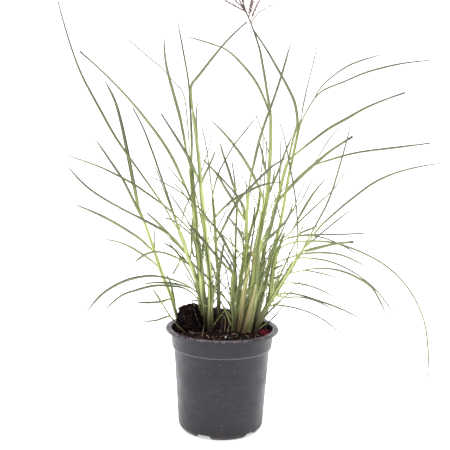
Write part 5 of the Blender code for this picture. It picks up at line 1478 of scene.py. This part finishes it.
def stem_paint():
    """Culms and sheaths: long light and dark streaks, the light ones partly painted highlights, pale at the soil,
    with brown old sheath edges.
    """
    paint = Paint("stems", STEM_LIGHT)
    along, side, tint, dry = (paint.value(name) for name in Shape.VALUES[:4])
    own = paint.stretched((1.0, 0.7, 1.0), paint.lengthwise(side, along, paint.math("MULTIPLY", tint, 37.0)))
    streak, strip = paint.noise(6.5, 3.0, 0.6, own), paint.noise(9.0, 3.0, 0.6, own)
    patch = paint.noise(22.0, 5.0, 0.6, paint.stretched((1.0, 1.0, 0.3)))
    husk = paint.noise(60.0, 5.0, 0.65, paint.stretched((1.0, 1.0, 0.16)))
    ribs = paint.math("SINE", paint.math("MULTIPLY", side, 34.0))
    paint.over(STEM_OLIVE, paint.step(tint, 0.0, 1.0, 0.0, 0.45))
    # Bright yellow-green patches and streaks: partly the culm's own streaking, partly painted highlights where light
    # catches the culms.
    paint.over(STEM_STREAK_AND_HIGHLIGHT, paint.step(patch, 0.4, 0.66), 0.5)
    paint.over(STEM_STREAK_AND_HIGHLIGHT, paint.step(streak, 0.52, 0.6), 0.8)
    paint.over(STEM_OLIVE, paint.step(streak, 0.41, 0.48, 1.0, 0.0), 0.9)
    paint.over(STEM_FOOT, paint.step(along, 0.23, 0.32, 0.4, 0.0))
    paint.over(STEM_OLIVE, paint.step(ribs, 0.0, 1.0), 0.25)
    paint.over(STEM_TOP, paint.step(along, 0.5, 0.9, 0.0, 0.92))
    paint.over(HUSK_BROWN, paint.step(husk, 0.47, 0.62), paint.step(along, 0.26, 0.44, 0.85, 0.0))
    paint.over(SOIL_BROWN, paint.step(along, 0.237, 0.345, 0.95, 0.0), paint.step(tint, 0.0, 0.6, 0.5, 1.0))
    fresh, paint.colour = paint.colour, HUSK_TAN
    paint.over(HUSK_BROWN, paint.step(strip, 0.52, 0.62))
    paint.over(STEM_OLIVE, paint.step(strip, 0.36, 0.45, 0.9, 0.0))
    paint.over(HUSK_BROWN, paint.step(along, 0.22, 0.36, 0.92, 0.0))
    paint.colour = paint.mix(dry, fresh, paint.colour)
    paint.bump(paint.math("ADD", ribs, paint.math("MULTIPLY", husk, 1.5)), 0.3, 0.0003)
    return paint.finish(paint.step(patch, 0.3, 0.7, 0.4, 0.62), Specular_IOR_Level=0.4)


def stub_paint():
    """Rotten dark stumps."""
    paint = Paint("old stubs", STUB_BROWN)
    spot = paint.noise(300.0, 4.0, 0.6)
    paint.over(PEAT_RED, paint.step(spot, 0.35, 0.7))
    paint.over(STRAW_DARK, paint.step(paint.value("along"), 0.85, 1.0), 0.5)
    paint.bump(spot, 0.6, 0.0005)
    return paint.finish(paint.step(spot, 0.3, 0.7, 0.7, 0.95))


def plume_paint():
    """The young flower head: wine red florets with silvery pink hairs on an olive axis."""
    paint = Paint("flower head", PLUME_AXIS)
    along, spot = paint.value("along"), paint.noise(500.0, 3.0)
    paint.over(PLUME_RED, paint.step(along, 0.0, 0.5))
    paint.over(PLUME_PALE, paint.step(along, 0.55, 1.0), 0.75)
    paint.over(PLUME_PALE, paint.value("tint"), 0.3)
    paint.bump(spot, 0.3, 0.0003)
    return paint.finish(paint.step(spot, 0.3, 0.7, 0.55, 0.75))


def floor_paint():
    """A plain pale studio floor that curves up into the backdrop, glowing faintly as painted light that washes out
    the shadows on it.
    """
    paint = Paint("studio white", FLOOR_WHITE)
    paint.over(FLOOR_WHITE_LOW, paint.noise(3.0, 2.0))
    # Painted light: the floor glows faintly all over, so the shadows cast on it wash out.
    paint.shader.inputs["Emission Color"].default_value = (1.0, 1.0, 1.0, 1.0)
    return paint.finish(0.7, Specular_IOR_Level=0.2, Emission_Strength=FLOOR_GLOW)


def make_floor(material):
    """A floor sheet that sweeps up into a backdrop far behind."""
    path = [(-3.0, 0.0), (1.6, 0.0)]
    for k in range(1, 13):
        turn = math.pi / 2 * k / 12
        path.append((1.6 + 0.8 * math.sin(turn), 0.8 - 0.8 * math.cos(turn)))
    path.append((2.4, 3.5))
    points = [(x, y, z) for y, z in path for x in (-4.0, 4.0)]
    faces = [(2 * k, 2 * k + 1, 2 * k + 3, 2 * k + 2) for k in range(len(path) - 1)]
    data = bpy.data.meshes.new("studio_floor")
    data.from_pydata(points, [], faces)
    for face in data.polygons:
        face.use_smooth = True
    data.materials.append(material)
    floor = add_object("studio_floor", data)


def soft_light(name, place, size, power):
    """A large soft lamp turned to the middle of the plant."""
    lamp = bpy.data.lights.new(name, "AREA")
    lamp.shape = "SQUARE"
    lamp.size = size
    lamp.energy = power
    holder = add_object(name, lamp)
    way = Vector(place) - Vector((0.0, 0.0, 0.3))
    holder.matrix_world = Matrix.Translation(place) @ way.to_track_quat("Z", "Y").to_matrix().to_4x4()


def light_studio():
    """A bright room with a darker wall at the front that no view shows, and a broad soft lamp overhead."""
    world = bpy.data.worlds.new("studio")
    world.use_nodes = True
    tree = world.node_tree
    sky = tree.nodes["Background"]
    sky.inputs["Color"].default_value = (1.0, 1.0, 1.0, 1.0)
    way = tree.nodes.new("ShaderNodeTexCoord")
    parts = tree.nodes.new("ShaderNodeSeparateXYZ")
    tree.links.new(way.outputs["Generated"], parts.inputs[0])
    fade = tree.nodes.new("ShaderNodeMapRange")
    fade.interpolation_type = "SMOOTHSTEP"
    tree.links.new(parts.outputs[1], fade.inputs[0])
    for socket, value in zip(fade.inputs[1:5], (-0.9, -0.1, SKY_FRONT, SKY_ROUND)):
        socket.default_value = value
    seen = tree.nodes.new("ShaderNodeLightPath")
    pick = tree.nodes.new("ShaderNodeMix")
    tree.links.new(seen.outputs["Is Camera Ray"], pick.inputs[0])
    tree.links.new(fade.outputs[0], pick.inputs[2])
    pick.inputs[3].default_value = SKY_SEEN
    tree.links.new(pick.outputs[0], sky.inputs["Strength"])
    bpy.context.scene.world = world
    soft_light("overhead", (0.0, -0.35, 2.2), 2.4, TOP_POWER)


def place_camera():
    """The camera stands at the eye that the front points were taken from."""
    camera = bpy.data.cameras.new("camera")
    camera.sensor_width = SENSOR
    camera.lens = FOCAL_SHARE * SENSOR
    camera.clip_end = 50.0
    holder = add_object("camera", camera)
    tilt = Matrix.Rotation(math.radians(90.0 - LOOK_DOWN_DEG), 4, "X")
    roll = Matrix.Rotation(math.radians(LOOK_TURN_DEG), 4, "Z")
    holder.matrix_world = Matrix.Translation(Vector(EYE) * MM) @ tilt @ roll
    bpy.context.scene.camera = holder


bpy.context.scene.view_settings.view_transform = "Standard"
place_camera()
light_studio()
make_floor(floor_paint())
make_pot(pot_paint())
make_peat(peat_paint())
make_crumbs(peat_paint())
make_fibres(straw_paint())
make_stubs(stub_paint())
make_grit(grit_paint())
make_granules(granule_paint())
make_plant({
    "stem": stem_paint(),
    "leaf": leaf_paint(),
    "plume": plume_paint(),
})
